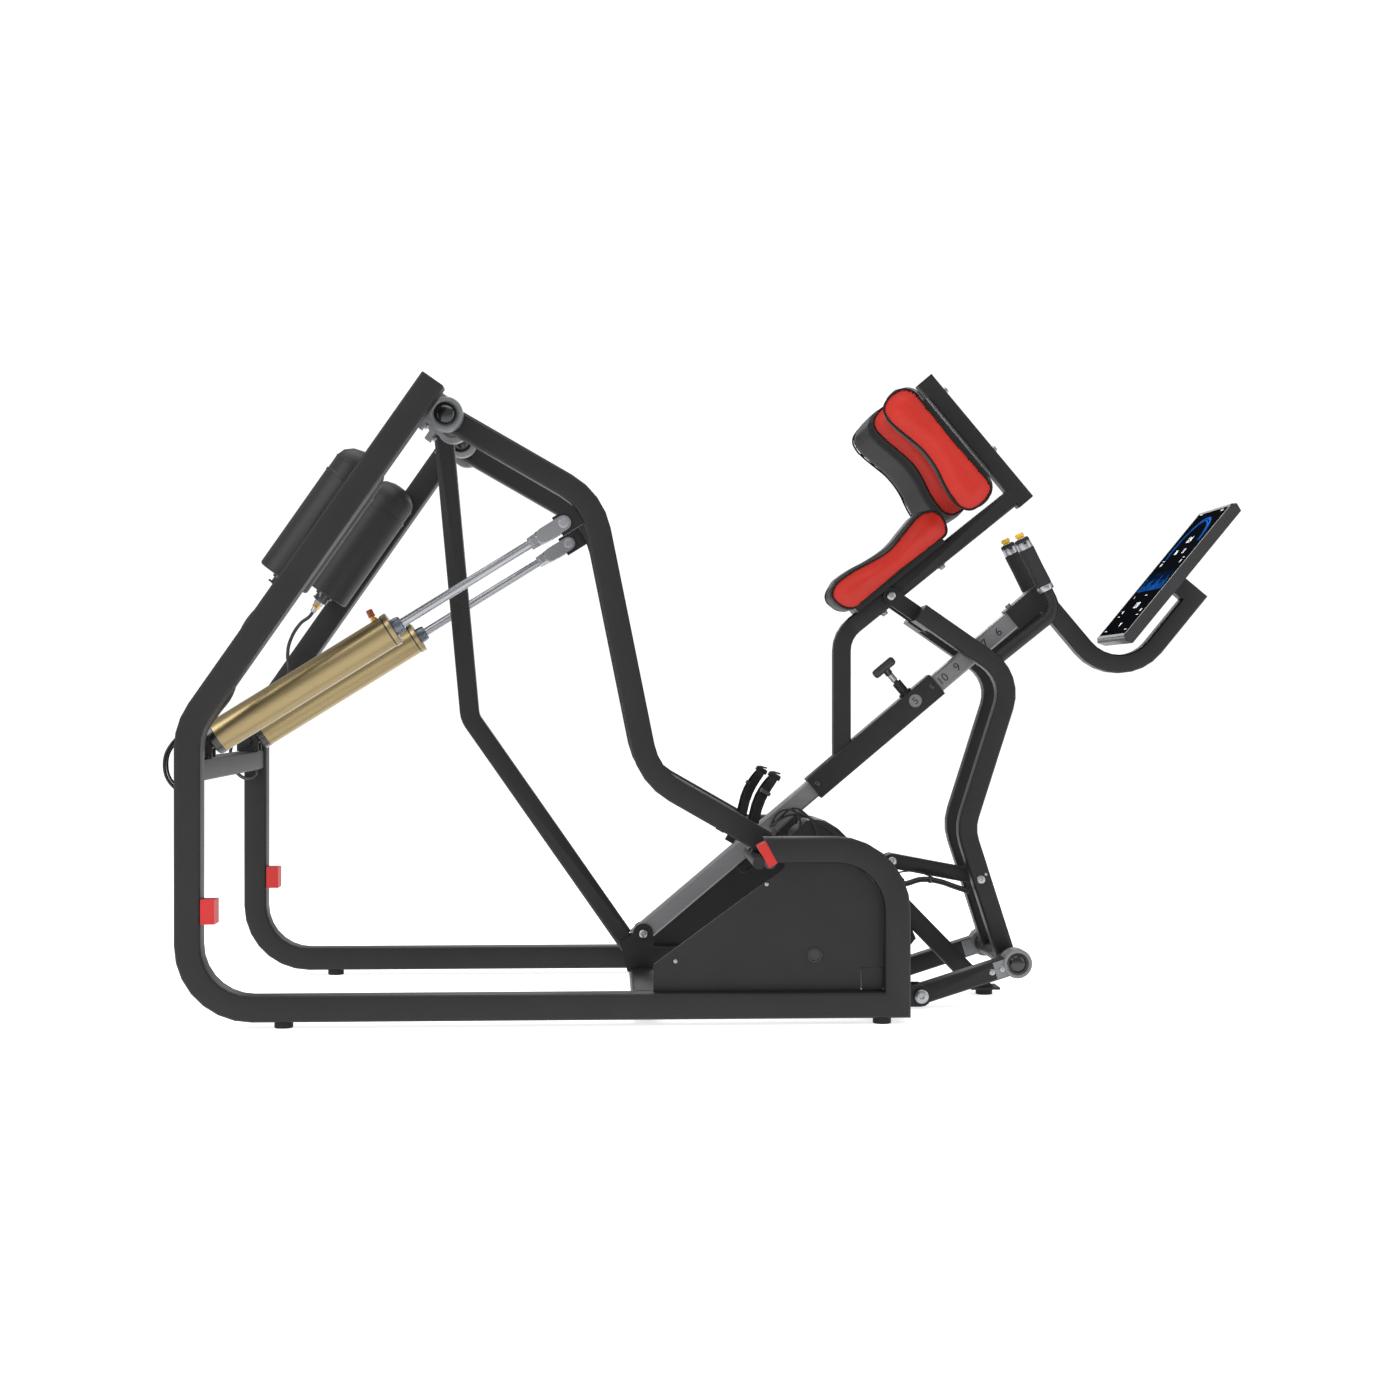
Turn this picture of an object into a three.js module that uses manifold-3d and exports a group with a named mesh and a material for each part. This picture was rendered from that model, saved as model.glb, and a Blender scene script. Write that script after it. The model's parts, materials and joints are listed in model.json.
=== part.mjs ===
// Standing leg press with two independent foot arms, each pushed against an air cylinder.
// Millimetres, +Z up. The user leans on the pads and faces +X, so "right" is the -Y side.
// Side-view places are [x, z] from the working datum; the group is moved last, so that the
// origin lies on the floor under the middle of the machine.
import * as THREE from "three";
import { mergeVertices } from "three/addons/utils/BufferGeometryUtils.js";
import Module from "manifold-3d";

const wasm = await Module();
wasm.setup();

// ---------- driving dimensions ----------
const CENTRE_X = 303; // middle of the machine's length, from the working datum
const GAP = 0.3; // air between pieces that touch
const DEG = Math.PI / 180;

const FRAME_TUBE = 63.5;
const SIDE_Y = 473.25; // centre plane of a side frame
const SIDE_INNER = SIDE_Y - FRAME_TUBE / 2;
const FOOT_HEIGHT = 16;
const RAIL_Z = FOOT_HEIGHT + FRAME_TUBE / 2;
const KNEE = [-1009, 729]; // where the column starts to lean
const COLUMN_LEAN = 55.15 * DEG; // above horizontal
const COLUMN_LENGTH = 1032.6; // knee to top end
const POST_X = 719; // front post
const HOOD_Z = 428.25;
const HOOD_END = [406, HOOD_Z];
const HOOD_CUT = 0.535; // slope of the hood tube's sloping end
const TUBE = 50; // cross tubes, strut, pad bars, uprights and links

const ARM_PIVOT = [-395, 1507];
const ARM_Y = 334;
const ARM_TUBE = 60;
const ARM_KNEES = [
  [-30, 1298, 170],
  [110, 606, 165],
];
const ARM_END = [405, 437];
const CLEVIS_PIN = [-104, 1242];
const STOP_BAR = [376.9, 397.4];
const STOP_BAR_RADIUS = 15.4;
const BARREL_PIVOT = [-1006.5, 681];
const BARREL_RADIUS = 42;
const ROD_RADIUS = 11.5;

const PEDAL_Y = 214;
const PEDAL_WIDTH = 120;

const STRUT_FOOT = [102, 172];
const STRUT_RISE = 40.1 * DEG;
const STRUT_END = 1304.7; // along the strut from its foot bolt
const SLEEVE = { from: 600, to: 1037, width: 66 };
const PIN_AT = 958; // pull pin, along the strut
const HOLE_PITCH = 48.5;
const PAD_BAR_RISE = 38.8 * DEG;
const EAR_PIVOT = [768, 1077]; // uprights on the pad bar
const SHOULDER_BAR = [
  [861.5, 1662],
  [1139, 1333],
];

const UPRIGHT_Y = 93;
const LINK_PIVOT = [814, 34];
const HUB = [1067, 114];
const LINK_Y = 229;
const UPPER_LINK_PIVOT = [772, 363];
const UPPER_LINK_END = [997, 320];
const GRIP_TOP = [1109, 1227];
const GRIP_END = [1176, 1094];

const DISPLAY_FOOT = [1374, 967]; // lower front edge of the display
const DISPLAY_LENGTH = 457;
const DISPLAY_RISE = 50.4 * DEG;
const DISPLAY_DEPTH = 30;
const DISPLAY_HALF_WIDTH = 146;

// ---------- materials ----------
const paint = (name, color, roughness, metalness) =>
  Object.assign(new THREE.MeshStandardMaterial({ color, roughness, metalness }), { name });
const BLACK = paint("black powder coat", 0x2b2b2d, 0.55, 0.2);
const GREY = paint("grey satin steel", 0x6e6e70, 0.4, 0.6);
const CAST = paint("grey cast iron", 0x808284, 0.5, 0.7);
const STEEL = paint("zinc plated steel", 0xb8babc, 0.3, 0.9);
const GOLD = paint("gold anodised tube", 0xa08c5f, 0.3, 0.8);
const RED_PAD = paint("red upholstery", 0xc83728, 0.5, 0);
const RED_RUBBER = paint("red rubber", 0xd72828, 0.6, 0);
const RUBBER = paint("black rubber", 0x1c1c1e, 0.8, 0);
const PLASTIC = paint("black plastic", 0x252527, 0.5, 0);
const YELLOW = paint("yellow plastic", 0xe1b432, 0.4, 0);

// ---------- shape helpers ----------
const group = new THREE.Group();
group.position.x = -CENTRE_X;

function piece(name, geometry, material) {
  geometry.computeVertexNormals();
  const mesh = new THREE.Mesh(geometry, material);
  mesh.name = name;
  group.add(mesh);
}

// Runs build(side, name) for the right side (-Y) and the left side (+Y).
function bothSides(build) {
  build(-1, "right");
  build(1, "left");
}

function solid(geometry) {
  const bare = geometry.index ? geometry.toNonIndexed() : geometry.clone();
  const points = new THREE.BufferGeometry().setAttribute("position", bare.getAttribute("position"));
  const merged = mergeVertices(points, 1e-3);
  return new wasm.Manifold(
    new wasm.Mesh({
      numProp: 3,
      vertProperties: merged.attributes.position.array,
      triVerts: new Uint32Array(merged.index.array),
    }),
  );
}

function geometryOf(body) {
  const mesh = body.getMesh();
  return new THREE.BufferGeometry()
    .setAttribute("position", new THREE.BufferAttribute(mesh.vertProperties, 3))
    .setIndex(new THREE.BufferAttribute(mesh.triVerts, 1));
}

const join = (...parts) => geometryOf(parts.map(solid).reduce((sum, next) => sum.add(next)));
const cut = (base, ...tools) =>
  geometryOf(tools.map(solid).reduce((rest, tool) => rest.subtract(tool), solid(base)));

const along = ([x, z], angle, distance, offset = 0) => [
  x + distance * Math.cos(angle) - offset * Math.sin(angle),
  z + distance * Math.sin(angle) + offset * Math.cos(angle),
];
const slope = (a, b) => Math.atan2(b[1] - a[1], b[0] - a[0]);
const reach = (a, b) => Math.hypot(b[0] - a[0], b[1] - a[1]);

// Closed skin over rings of points, with flat fans on the first and last ring.
function skin(rings) {
  const count = rings[0].length;
  const positions = rings.flat().flatMap((p) => [p.x, p.y, p.z]);
  const faces = [];
  for (let i = 0; i + 1 < rings.length; i++)
    for (let k = 0; k < count; k++) {
      const [a, b] = [i * count + k, i * count + ((k + 1) % count)];
      faces.push([a, b, b + count], [a, b + count, a + count]);
    }
  const last = (rings.length - 1) * count;
  for (let k = 1; k + 1 < count; k++) faces.push([0, k + 1, k], [last, last + k, last + k + 1]);
  const at = (i) => new THREE.Vector3(...positions.slice(3 * i, 3 * i + 3));
  const volume = faces.reduce((sum, [a, b, c]) => sum + at(a).dot(at(b).cross(at(c))), 0);
  const turned = volume < 0 ? faces.map(([a, b, c]) => [a, c, b]) : faces;
  return new THREE.BufferGeometry()
    .setAttribute("position", new THREE.Float32BufferAttribute(positions, 3))
    .setIndex(turned.flat());
}

// Section with rounded corners, as [u, v] points.
function rounded(width, height, radius = 6, steps = 1) {
  const points = [];
  for (let corner = 0; corner < 4; corner++) {
    const sx = corner === 0 || corner === 3 ? 1 : -1;
    const sy = corner < 2 ? 1 : -1;
    for (let k = 0; k <= steps; k++) {
      const angle = (corner + k / steps) * 90 * DEG;
      points.push([
        sx * (width / 2 - radius) + radius * Math.cos(angle),
        sy * (height / 2 - radius) + radius * Math.sin(angle),
      ]);
    }
  }
  return points;
}

function circle(radius, sides) {
  const turn = (k) => (2 * Math.PI * k) / sides;
  return Array.from({ length: sides }, (_, k) => [
    radius * Math.cos(turn(k)),
    radius * Math.sin(turn(k)),
  ]);
}

// Bar along [x, z, bend radius] corners in the plane at y; radius 0 or none makes a mitre.
// A cut slants the first or last end face.
function bar(corners, section, y, cuts = [0, 0]) {
  const rings = [];
  const ring = (x, z, angle, stretch = 1, slant = 0) =>
    rings.push(
      section.map(([u, v]) => {
        const [px, pz] = along([x, z], angle, u * slant, u * stretch);
        return new THREE.Vector3(px, y + v, pz);
      }),
    );
  corners.forEach((corner, i) => {
    const into = i > 0 ? slope(corners[i - 1], corner) : null;
    const out = i + 1 < corners.length ? slope(corner, corners[i + 1]) : null;
    if (into === null) return ring(corner[0], corner[1], out, 1, cuts[0]);
    if (out === null) return ring(corner[0], corner[1], into, 1, cuts[1]);
    const turn = Math.atan2(Math.sin(out - into), Math.cos(out - into));
    const radius = corner[2] || 0;
    if (!radius) return ring(corner[0], corner[1], into + turn / 2, 1 / Math.cos(turn / 2));
    const start = along(corner, into, -radius * Math.tan(Math.abs(turn) / 2));
    const side = Math.sign(turn);
    const centre = along(start, into, 0, side * radius);
    const steps = Math.ceil(Math.abs(turn) / (14 * DEG));
    for (let k = 0; k <= steps; k++) {
      const angle = into + (turn * k) / steps;
      ring(...along(centre, angle, 0, -side * radius), angle);
    }
  });
  return skin(rings);
}

// Bar with a constant section along Y, from y0 to y1, turned by angle in the side view.
function crossBar([x, z], section, y0, y1, angle = 0) {
  const ring = (y) =>
    section.map(([u, v]) => {
      const [px, pz] = along([x, z], angle, u, v);
      return new THREE.Vector3(px, y, pz);
    });
  return skin([ring(y0), ring(y1)]);
}

const pinY = (place, radius, y0, y1, sides = 14) =>
  crossBar(place, circle(radius, sides), y0, y1);

// Flat plate of an outline of [x, z] points between y0 and y1.
function plate(points, y0, y1) {
  const shape = new THREE.Shape(points.map(([x, z]) => new THREE.Vector2(x, z)));
  const depth = Math.abs(y1 - y0);
  const geometry = new THREE.ExtrudeGeometry(shape, { depth, bevelEnabled: false });
  return geometry.rotateX(Math.PI / 2).translate(0, Math.max(y0, y1), 0);
}

// Box along a side-view direction: lengths from..to along it, low..high across it.
const block = (origin, angle, [from, to], [low, high], y0, y1) =>
  plate(
    [
      along(origin, angle, from, low),
      along(origin, angle, to, low),
      along(origin, angle, to, high),
      along(origin, angle, from, high),
    ],
    y0,
    y1,
  );

const arc = ([x, z], radius, from, to, steps) =>
  Array.from({ length: steps + 1 }, (_, k) =>
    along([x, z], (from + ((to - from) * k) / steps) * DEG, radius),
  );

// Strap-shaped plate with a round end at each of two places.
function eyePlate(a, b, radius, y0, y1) {
  const angle = slope(a, b) / DEG;
  const outline = [
    ...arc(a, radius, angle + 90, angle + 270, 8),
    ...arc(b, radius, angle - 90, angle + 90, 8),
  ];
  return plate(outline, y0, y1);
}

// Turned piece: [radius, height] profile about an axis from a place, in the plane at y.
function turned(profile, [x, z], angle, y, sides = 20) {
  const points = profile.map(([r, h]) => new THREE.Vector2(r, h));
  return new THREE.LatheGeometry(points, sides).rotateZ(-Math.PI / 2).rotateY(-angle).translate(x, y, z);
}

// Round hose or cable along a smooth curve through [x, y, z] points.
function hose(points, radius, steps, sides = 8) {
  const curve = new THREE.CatmullRomCurve3(points.map((p) => new THREE.Vector3(...p)));
  const frames = curve.computeFrenetFrames(steps, false);
  const rings = curve.getSpacedPoints(steps).map((p, i) =>
    circle(radius, sides).map(([u, v]) =>
      p.clone().addScaledVector(frames.normals[i], u).addScaledVector(frames.binormals[i], v),
    ),
  );
  return skin(rings);
}

// ---------- side frames and cross members ----------
const frameSection = rounded(FRAME_TUBE, FRAME_TUBE);
const tubeSection = rounded(TUBE, TUBE, 5);
const COLUMN_TOP = along(KNEE, COLUMN_LEAN, COLUMN_LENGTH);
const CROSS_END = SIDE_INNER - GAP;

bothSides((side, name) => {
  const corners = [
    COLUMN_TOP,
    [...KNEE, 160],
    [KNEE[0], RAIL_Z, 155],
    [POST_X, RAIL_Z],
    [POST_X, HOOD_Z, 150],
    HOOD_END,
  ];
  const tube = bar(corners, frameSection, side * SIDE_Y, [0, -HOOD_CUT]);
  piece(`side_frame_${name}`, tube, BLACK);
});

const REAR_TUBE = [-1009, 625.5];
const FLOOR_TUBE = [100, RAIL_Z];
const BEAM = along(COLUMN_TOP, COLUMN_LEAN, -43.3, 9.5);
const beam = crossBar(BEAM, tubeSection, -CROSS_END, CROSS_END, COLUMN_LEAN);
const rearTube = crossBar(REAR_TUBE, rounded(TUBE, 55, 5), -CROSS_END, CROSS_END);
piece("top_beam", beam, BLACK);
piece("rear_cross_tube", rearTube, BLACK);
piece("floor_cross_tube", crossBar(FLOOR_TUBE, frameSection, -CROSS_END, CROSS_END), BLACK);

// Front subframe: three cross tubes, the sloping tail and the link brackets.
const HOOD_TUBE = [POST_X, 331];
const TAIL_END = [1015, 22];
const tail = cut(
  bar([[722, 323], TAIL_END, [1035, 1.5]], tubeSection, 0),
  block([0, 0], 0, [900, 1200], [-60, 17], -60, 60),
);
const webOutline = [
  [650, 90],
  [700, 70],
  [781, 78],
  [841, 152],
  [803, 240],
  [725, 331],
  [700, 331],
  [700, 150],
  [650, 120],
];
const frontParts = [
  crossBar([659.5, 108.5], rounded(54.5, 55, 5), -470, 470),
  crossBar([POST_X, RAIL_Z], frameSection, -CROSS_END, CROSS_END),
  crossBar(HOOD_TUBE, tubeSection, -CROSS_END, CROSS_END),
  tail,
  block([1025, 19], 0, [-39, 39], [-3, 3], -39, 39),
  plate(webOutline, -6, 6),
];
for (const side of [-1, 1]) {
  for (const y of [199, 259]) {
    const wing = eyePlate([750, LINK_PIVOT[1]], LINK_PIVOT, 28, side * (y - 3), side * (y + 3));
    frontParts.push(wing);
  }
  frontParts.push(pinY(LINK_PIVOT, 8, side * 199, side * 262));
  frontParts.push(pinY(LINK_PIVOT, 17, side * 261, side * 271));
  frontParts.push(eyePlate([738, 345], UPPER_LINK_PIVOT, 20, side * 23, side * 29));
}
frontParts.push(pinY(UPPER_LINK_PIVOT, 6, -34, 34));
piece("front_subframe", join(...frontParts), BLACK);

// Centre brace from the top beam to the floor tube, with the strut's foot bracket.
const brace = bar([[-434, 1540], [-361, 750, 60], [126, 51]], tubeSection, 0);
const braceParts = [brace];
for (const side of [-1, 1]) {
  const cheek = [[60, 70], [131, 70], [130, 160], ...arc(STRUT_FOOT, 27, 0, 180, 8), [40, 150]];
  braceParts.push(plate(cheek, side * 24, side * 31.5));
  braceParts.push(pinY(STRUT_FOOT, 12, side * 31, side * 39, 6));
}
const braceBody = cut(
  join(...braceParts),
  crossBar(FLOOR_TUBE, rounded(FRAME_TUBE + 2 * GAP, FRAME_TUBE + 2 * GAP), -60, 60),
  block([0, 0], 0, [60, 140], [0, RAIL_Z], -60, 60),
  crossBar(BEAM, rounded(TUBE + 2 * GAP, TUBE + 2 * GAP, 5), -60, 60, COLUMN_LEAN),
  block(BEAM, COLUMN_LEAN, [-60, 60], [0, 60], -60, 60),
  block(STRUT_FOOT, STRUT_RISE, [-30, 60], [-25.4, 25.4], -25.4, 25.4),
);
piece("centre_brace", braceBody, BLACK);

// Cover panel in each front frame, with a folded free edge.
bothSides((side, name) => {
  const y = side * 470;
  const inner = FRAME_TUBE / 2 + GAP;
  const bend = [POST_X - 150, HOOD_Z - 150];
  const top = HOOD_Z - inner;
  const outline = [
    [119, RAIL_Z + inner],
    [631, RAIL_Z + inner],
    [631, 137],
    [POST_X - inner, 137],
    ...arc(bend, 149 - inner, 0, 90, 8),
    [443, top],
    [443, 383],
    [119, 146],
  ];
  const fold = slope([119, 146], [443, 383]);
  const lip = block([119, 146], fold, [1, 400], [-3, 0], y, side * 455);
  piece(`cover_${name}`, join(plate(outline, y, side * 467), lip), BLACK);
});

// Feet, with one more under the tail.
const footProfile = [
  [0, 0],
  [22, 0],
  [23, 2],
  [23, FOOT_HEIGHT - GAP],
  [0, FOOT_HEIGHT - GAP],
];
bothSides((side, name) => {
  for (const [end, x] of [["rear", -781], ["front", 683]]) {
    const foot = turned(footProfile, [x, 0], Math.PI / 2, side * SIDE_Y, 16);
    piece(`foot_${end}_${name}`, foot, RUBBER);
  }
});
piece("foot_tail", turned(footProfile, [1027, 0], Math.PI / 2, 0, 16), RUBBER);

// Red stops: one on each hood tube end for rest, one on each column for full press.
const HOOD_FACE = Math.atan2(-1, HOOD_CUT);
bothSides((side, name) => {
  const [y0, y1] = [side * 443, side * 503];
  const restStop = block(HOOD_END, HOOD_FACE, [-24, 35], [-24 - GAP, -GAP], y0, y1);
  const pressStop = block([KNEE[0], 284], 0, [FRAME_TUBE / 2 + GAP, 66], [-30, 30], y0, y1);
  piece(`rest_stop_${name}`, restStop, RED_RUBBER);
  piece(`press_stop_${name}`, pressStop, RED_RUBBER);
});

// ---------- bearings, arms and pedals ----------
// Housing with a foot on the beam; its bore is stepped, so that the shaft's end cap shows.
function bearing(y0, y1) {
  const seat = -reach(ARM_PIVOT, BEAM) - 8;
  const face = TUBE / 2 + GAP;
  const foot = block(BEAM, COLUMN_LEAN, [-66, 36], [-face - 16, -face], y0, y1);
  const web = block(ARM_PIVOT, COLUMN_LEAN, [-38, 38], [0, -seat - face - 16], y0, y1);
  const middle = (y0 + y1) / 2;
  const half = Math.abs(y1 - y0) / 2;
  return cut(
    join(pinY(ARM_PIVOT, 43, y0, y1, 28), web, foot),
    pinY(ARM_PIVOT, 19, y0 - 50, y0 + 50, 16),
    pinY(ARM_PIVOT, 29.6, middle + half - 8, middle + half + 8, 20),
    pinY(ARM_PIVOT, 29.6, middle - half - 8, middle - half + 8, 20),
  );
}

const LOWER_ARM = slope(ARM_KNEES[1], ARM_END);
const CYLINDER_RISE = slope(BARREL_PIVOT, CLEVIS_PIN);
const PIN_REACH = reach(BARREL_PIVOT, CLEVIS_PIN);

bothSides((side, name) => {
  const s = (y) => side * y;
  piece(`bearing_outer_${name}`, bearing(s(368.5), s(401)), CAST);
  piece(`bearing_inner_${name}`, bearing(s(133), s(166)), CAST);

  const corners = [along(ARM_PIVOT, slope(ARM_PIVOT, ARM_KNEES[0]), -24), ...ARM_KNEES, ARM_END];
  const lug = block(CLEVIS_PIN, CYLINDER_RISE, [-18, 78], [-27, 27], s(ARM_Y - 8), s(ARM_Y + 8));
  const saddle = block(ARM_END, LOWER_ARM, [-20, 12], [-44, -20], s(ARM_Y - 24), s(ARM_Y + 24));
  const arm = join(
    bar(corners, rounded(ARM_TUBE, ARM_TUBE), s(ARM_Y)),
    pinY(ARM_PIVOT, 17.5, s(129), s(398), 16),
    pinY(ARM_PIVOT, 21, s(394.5), s(399), 20),
    pinY(ARM_PIVOT, 25, s(300), s(366), 20),
    lug,
    saddle,
    pinY(STOP_BAR, STOP_BAR_RADIUS, s(152), s(500), 20),
  );
  piece(`arm_${name}`, arm, BLACK);

  // Pedal: tread plate with a toe lip on a rib and a block over the stop bar.
  const [inner, outer] = [s(PEDAL_Y - PEDAL_WIDTH / 2), s(PEDAL_Y + PEDAL_WIDTH / 2)];
  const part = (length, height, y0, y1) => block(ARM_END, LOWER_ARM, length, height, y0, y1);
  const pedal = join(
    part([-275, 28], [15, 24], inner, outer),
    part([20, 28], [23, 40], inner, outer),
    part([-255, 20], [-8, 16], s(PEDAL_Y - 14), s(PEDAL_Y + 14)),
    part([-40, 18], [-31.2, -7], s(PEDAL_Y - 22), s(PEDAL_Y + 22)),
    part([-82, -58], [-48, -7], s(PEDAL_Y - 6), s(PEDAL_Y + 6)),
    part([-60, -50], [-1, 16], inner, s(300)),
  );
  piece(`pedal_${name}`, pedal, BLACK);

  // Foot strap: a stiff hoop over the instep with a buckle on top.
  const hoop = [];
  const strapSteps = 16;
  for (let k = 0; k <= strapSteps; k++) {
    const angle = Math.PI * (1 - k / strapSteps);
    const shape = (value, power) => Math.sign(value) * Math.abs(value) ** power;
    const spread = 56 * shape(Math.cos(angle), 0.7);
    const rise = 24.3 + 131 * shape(Math.sin(angle), 0.7);
    const inward = [-0.7 * Math.cos(angle), -Math.sin(angle)];
    const lean = -40 - 0.09 * (rise - 24) - 10 * Math.sin((Math.PI * (rise - 24)) / 132);
    const ring = [[-11, 0], [11, 0], [11, 4], [-11, 4]].map(([u, v]) => {
      const [x, z] = along(ARM_END, LOWER_ARM, lean + u, rise + v * inward[1]);
      return new THREE.Vector3(x, s(PEDAL_Y) + spread + v * inward[0], z);
    });
    hoop.push(ring);
  }
  const buckle = part([-68, -36], [152, 162], s(PEDAL_Y - 17), s(PEDAL_Y + 17));
  piece(`foot_strap_${name}`, join(skin(hoop), buckle), RUBBER);
});

// ---------- air cylinders, tanks and hoses ----------
bothSides((side, name) => {
  const s = (y) => side * y;
  const tubeTop = REAR_TUBE[1] + 27.5 + GAP;
  const bracketParts = [block([BARREL_PIVOT[0], tubeTop], 0, [-24, 24], [0, 6], s(296), s(372))];
  for (const y of [311, 357]) {
    const cheek = [[-30, 0], [30, 0], [30, 34], ...arc([0, 28], 28, 20, 160, 6), [-30, 34]];
    const outline = cheek.map(([x, z]) => [BARREL_PIVOT[0] + x, tubeTop + z]);
    bracketParts.push(plate(outline, s(y - 4), s(y + 4)));
  }
  bracketParts.push(pinY(BARREL_PIVOT, 8, s(308), s(360)));
  bracketParts.push(pinY(BARREL_PIVOT, 12, s(300), s(308), 6), pinY(BARREL_PIVOT, 12, s(360), s(368), 6));
  piece(`cylinder_bracket_${name}`, join(...bracketParts), BLACK);

  const at = (distance) => along(BARREL_PIVOT, CYLINDER_RISE, distance);
  const barrelProfile = [
    [0, 34],
    [BARREL_RADIUS, 34],
    [BARREL_RADIUS, 545],
    [BARREL_RADIUS + 1.5, 546],
    [BARREL_RADIUS + 1.5, 560],
    [18, 561],
    [18, 583],
    [ROD_RADIUS + 0.7, 583],
    [ROD_RADIUS + 0.7, 548],
    [37, 548],
    [37, 90],
    [0, 90],
  ];
  const eye = eyePlate(BARREL_PIVOT, at(36), 19, s(ARM_Y - 15), s(ARM_Y + 15));
  const barrel = cut(
    join(turned(barrelProfile, BARREL_PIVOT, CYLINDER_RISE, s(ARM_Y), 24), eye),
    pinY(BARREL_PIVOT, 9, s(300), s(370)),
  );
  piece(`cylinder_barrel_${name}`, barrel, GOLD);

  // Rod with its piston, jam nut and clevis; the pin shows as a head on each ear.
  const rodProfile = [
    [0, 480],
    [36, 480],
    [36, 500],
    [ROD_RADIUS, 501],
    [ROD_RADIUS, 1000],
    [0, 1000],
  ];
  const nutProfile = [[0, 973], [17, 973], [17, 986], [0, 986]];
  const earEnd = eyePlate(at(1004), at(PIN_REACH), 19, s(ARM_Y - 19), s(ARM_Y + 19));
  const fork = cut(
    join(
      turned(rodProfile, BARREL_PIVOT, CYLINDER_RISE, s(ARM_Y), 14),
      turned(nutProfile, BARREL_PIVOT, CYLINDER_RISE, s(ARM_Y), 6),
      turned([[0, 985], [17, 985], [19, 990], [19, 1008], [0, 1008]], BARREL_PIVOT, CYLINDER_RISE, s(ARM_Y), 14),
      earEnd,
      pinY(CLEVIS_PIN, 9, s(ARM_Y - 23), s(ARM_Y + 23)),
    ),
    block(BARREL_PIVOT, CYLINDER_RISE, [1016, 1100], [-40, 40], s(ARM_Y - 9), s(ARM_Y + 9)),
  );
  piece(`cylinder_rod_${name}`, fork, STEEL);

  // Air tank beside the column, held by two pads.
  const TANK_Y = 370;
  const tankFoot = [-798.5, 1099];
  const tankProfile = [
    [0, -22],
    [12, -22],
    [14, 0],
    [64, 0],
    [68.5, 5],
    [68.5, 286],
    [67, 289],
    [67, 330],
    [60, 350],
    [42, 366],
    [18, 374],
    [0, 375],
  ];
  const tankParts = [turned(tankProfile, tankFoot, COLUMN_LEAN, s(TANK_Y), 24)];
  for (const distance of [50, 230])
    tankParts.push(
      block(tankFoot, COLUMN_LEAN, [distance, distance + 30], [-40, 0], s(420), s(CROSS_END)),
    );
  piece(`air_tank_${name}`, join(...tankParts), BLACK);

  const tankHose = [
    [-812, s(370), 1076],
    [-838, s(371), 1042],
    [-864, s(374), 1020],
    [-900, s(384), 964],
    [-908, s(394), 928],
    [-906, s(402), 880],
    [-920, s(405), 812],
    [-955, s(405), 762],
    [-984, s(405), 715],
    [-990, s(405), 656],
  ];
  piece(`tank_hose_${name}`, hose(tankHose, 5, 18), RUBBER);

  const loopHose = [
    [-1020, s(383), 706],
    [-1032, s(400), 712],
    [-1056, s(424), 696],
    [-1078, s(430), 640],
    [-1056, s(428), 584],
    [-1020, s(424), 570],
    [-1003, s(420), 582],
    [-1000, s(418), 596],
  ];
  piece(`loop_hose_${name}`, hose(loopHose, 4, 18), RUBBER);
});

// ---------- strut and pad carriage ----------
const onStrut = (distance, offset = 0) => along(STRUT_FOOT, STRUT_RISE, distance, offset);
const strutHoles = [];
for (let k = -2; k <= 6; k++) {
  const hole = [[0, -14], [6.5, -14], [6.5, 5], [0, 5]];
  const place = onStrut(PIN_AT + k * HOLE_PITCH, TUBE / 2);
  strutHoles.push(turned(hole, place, STRUT_RISE + Math.PI / 2, 0, 8));
}
const strut = bar([onStrut(-24), onStrut(STRUT_END)], tubeSection, 0);
piece("strut", cut(strut, ...strutHoles), GREY);

const onPadBar = (distance, offset = 0) => along(EAR_PIVOT, PAD_BAR_RISE, distance, offset);
const POST_LINE = 638.5;
const padBarKnee = [POST_LINE, EAR_PIVOT[1] - (EAR_PIVOT[0] - POST_LINE) * Math.tan(PAD_BAR_RISE)];
const padBarEnd = [1108, EAR_PIVOT[1] + (1108 - EAR_PIVOT[0]) * Math.tan(PAD_BAR_RISE)];
const half = SLEEVE.width / 2;
const clear = TUBE + 1.2;

// Shoulder pad boards: flat wings that fan out from the shoulder bar towards the user.
const SHOULDER_FALL = slope(SHOULDER_BAR[0], SHOULDER_BAR[1]);
const FACE = along(SHOULDER_BAR[0], SHOULDER_FALL, 0, -TUBE / 2);
const WING_SLOPE = 0.2566;
const padBack = (y) => 35.6 + (y - 140) * WING_SLOPE; // pad's back, out from the bar's face

function fan(outline, y0, y1, side) {
  const ring = (y) =>
    outline.map(([length, out]) => {
      const [x, z] = along(FACE, SHOULDER_FALL, length, -(out + y * WING_SLOPE));
      return new THREE.Vector3(x, side * y, z);
    });
  return skin([ring(y0), ring(y1)]);
}

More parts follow.
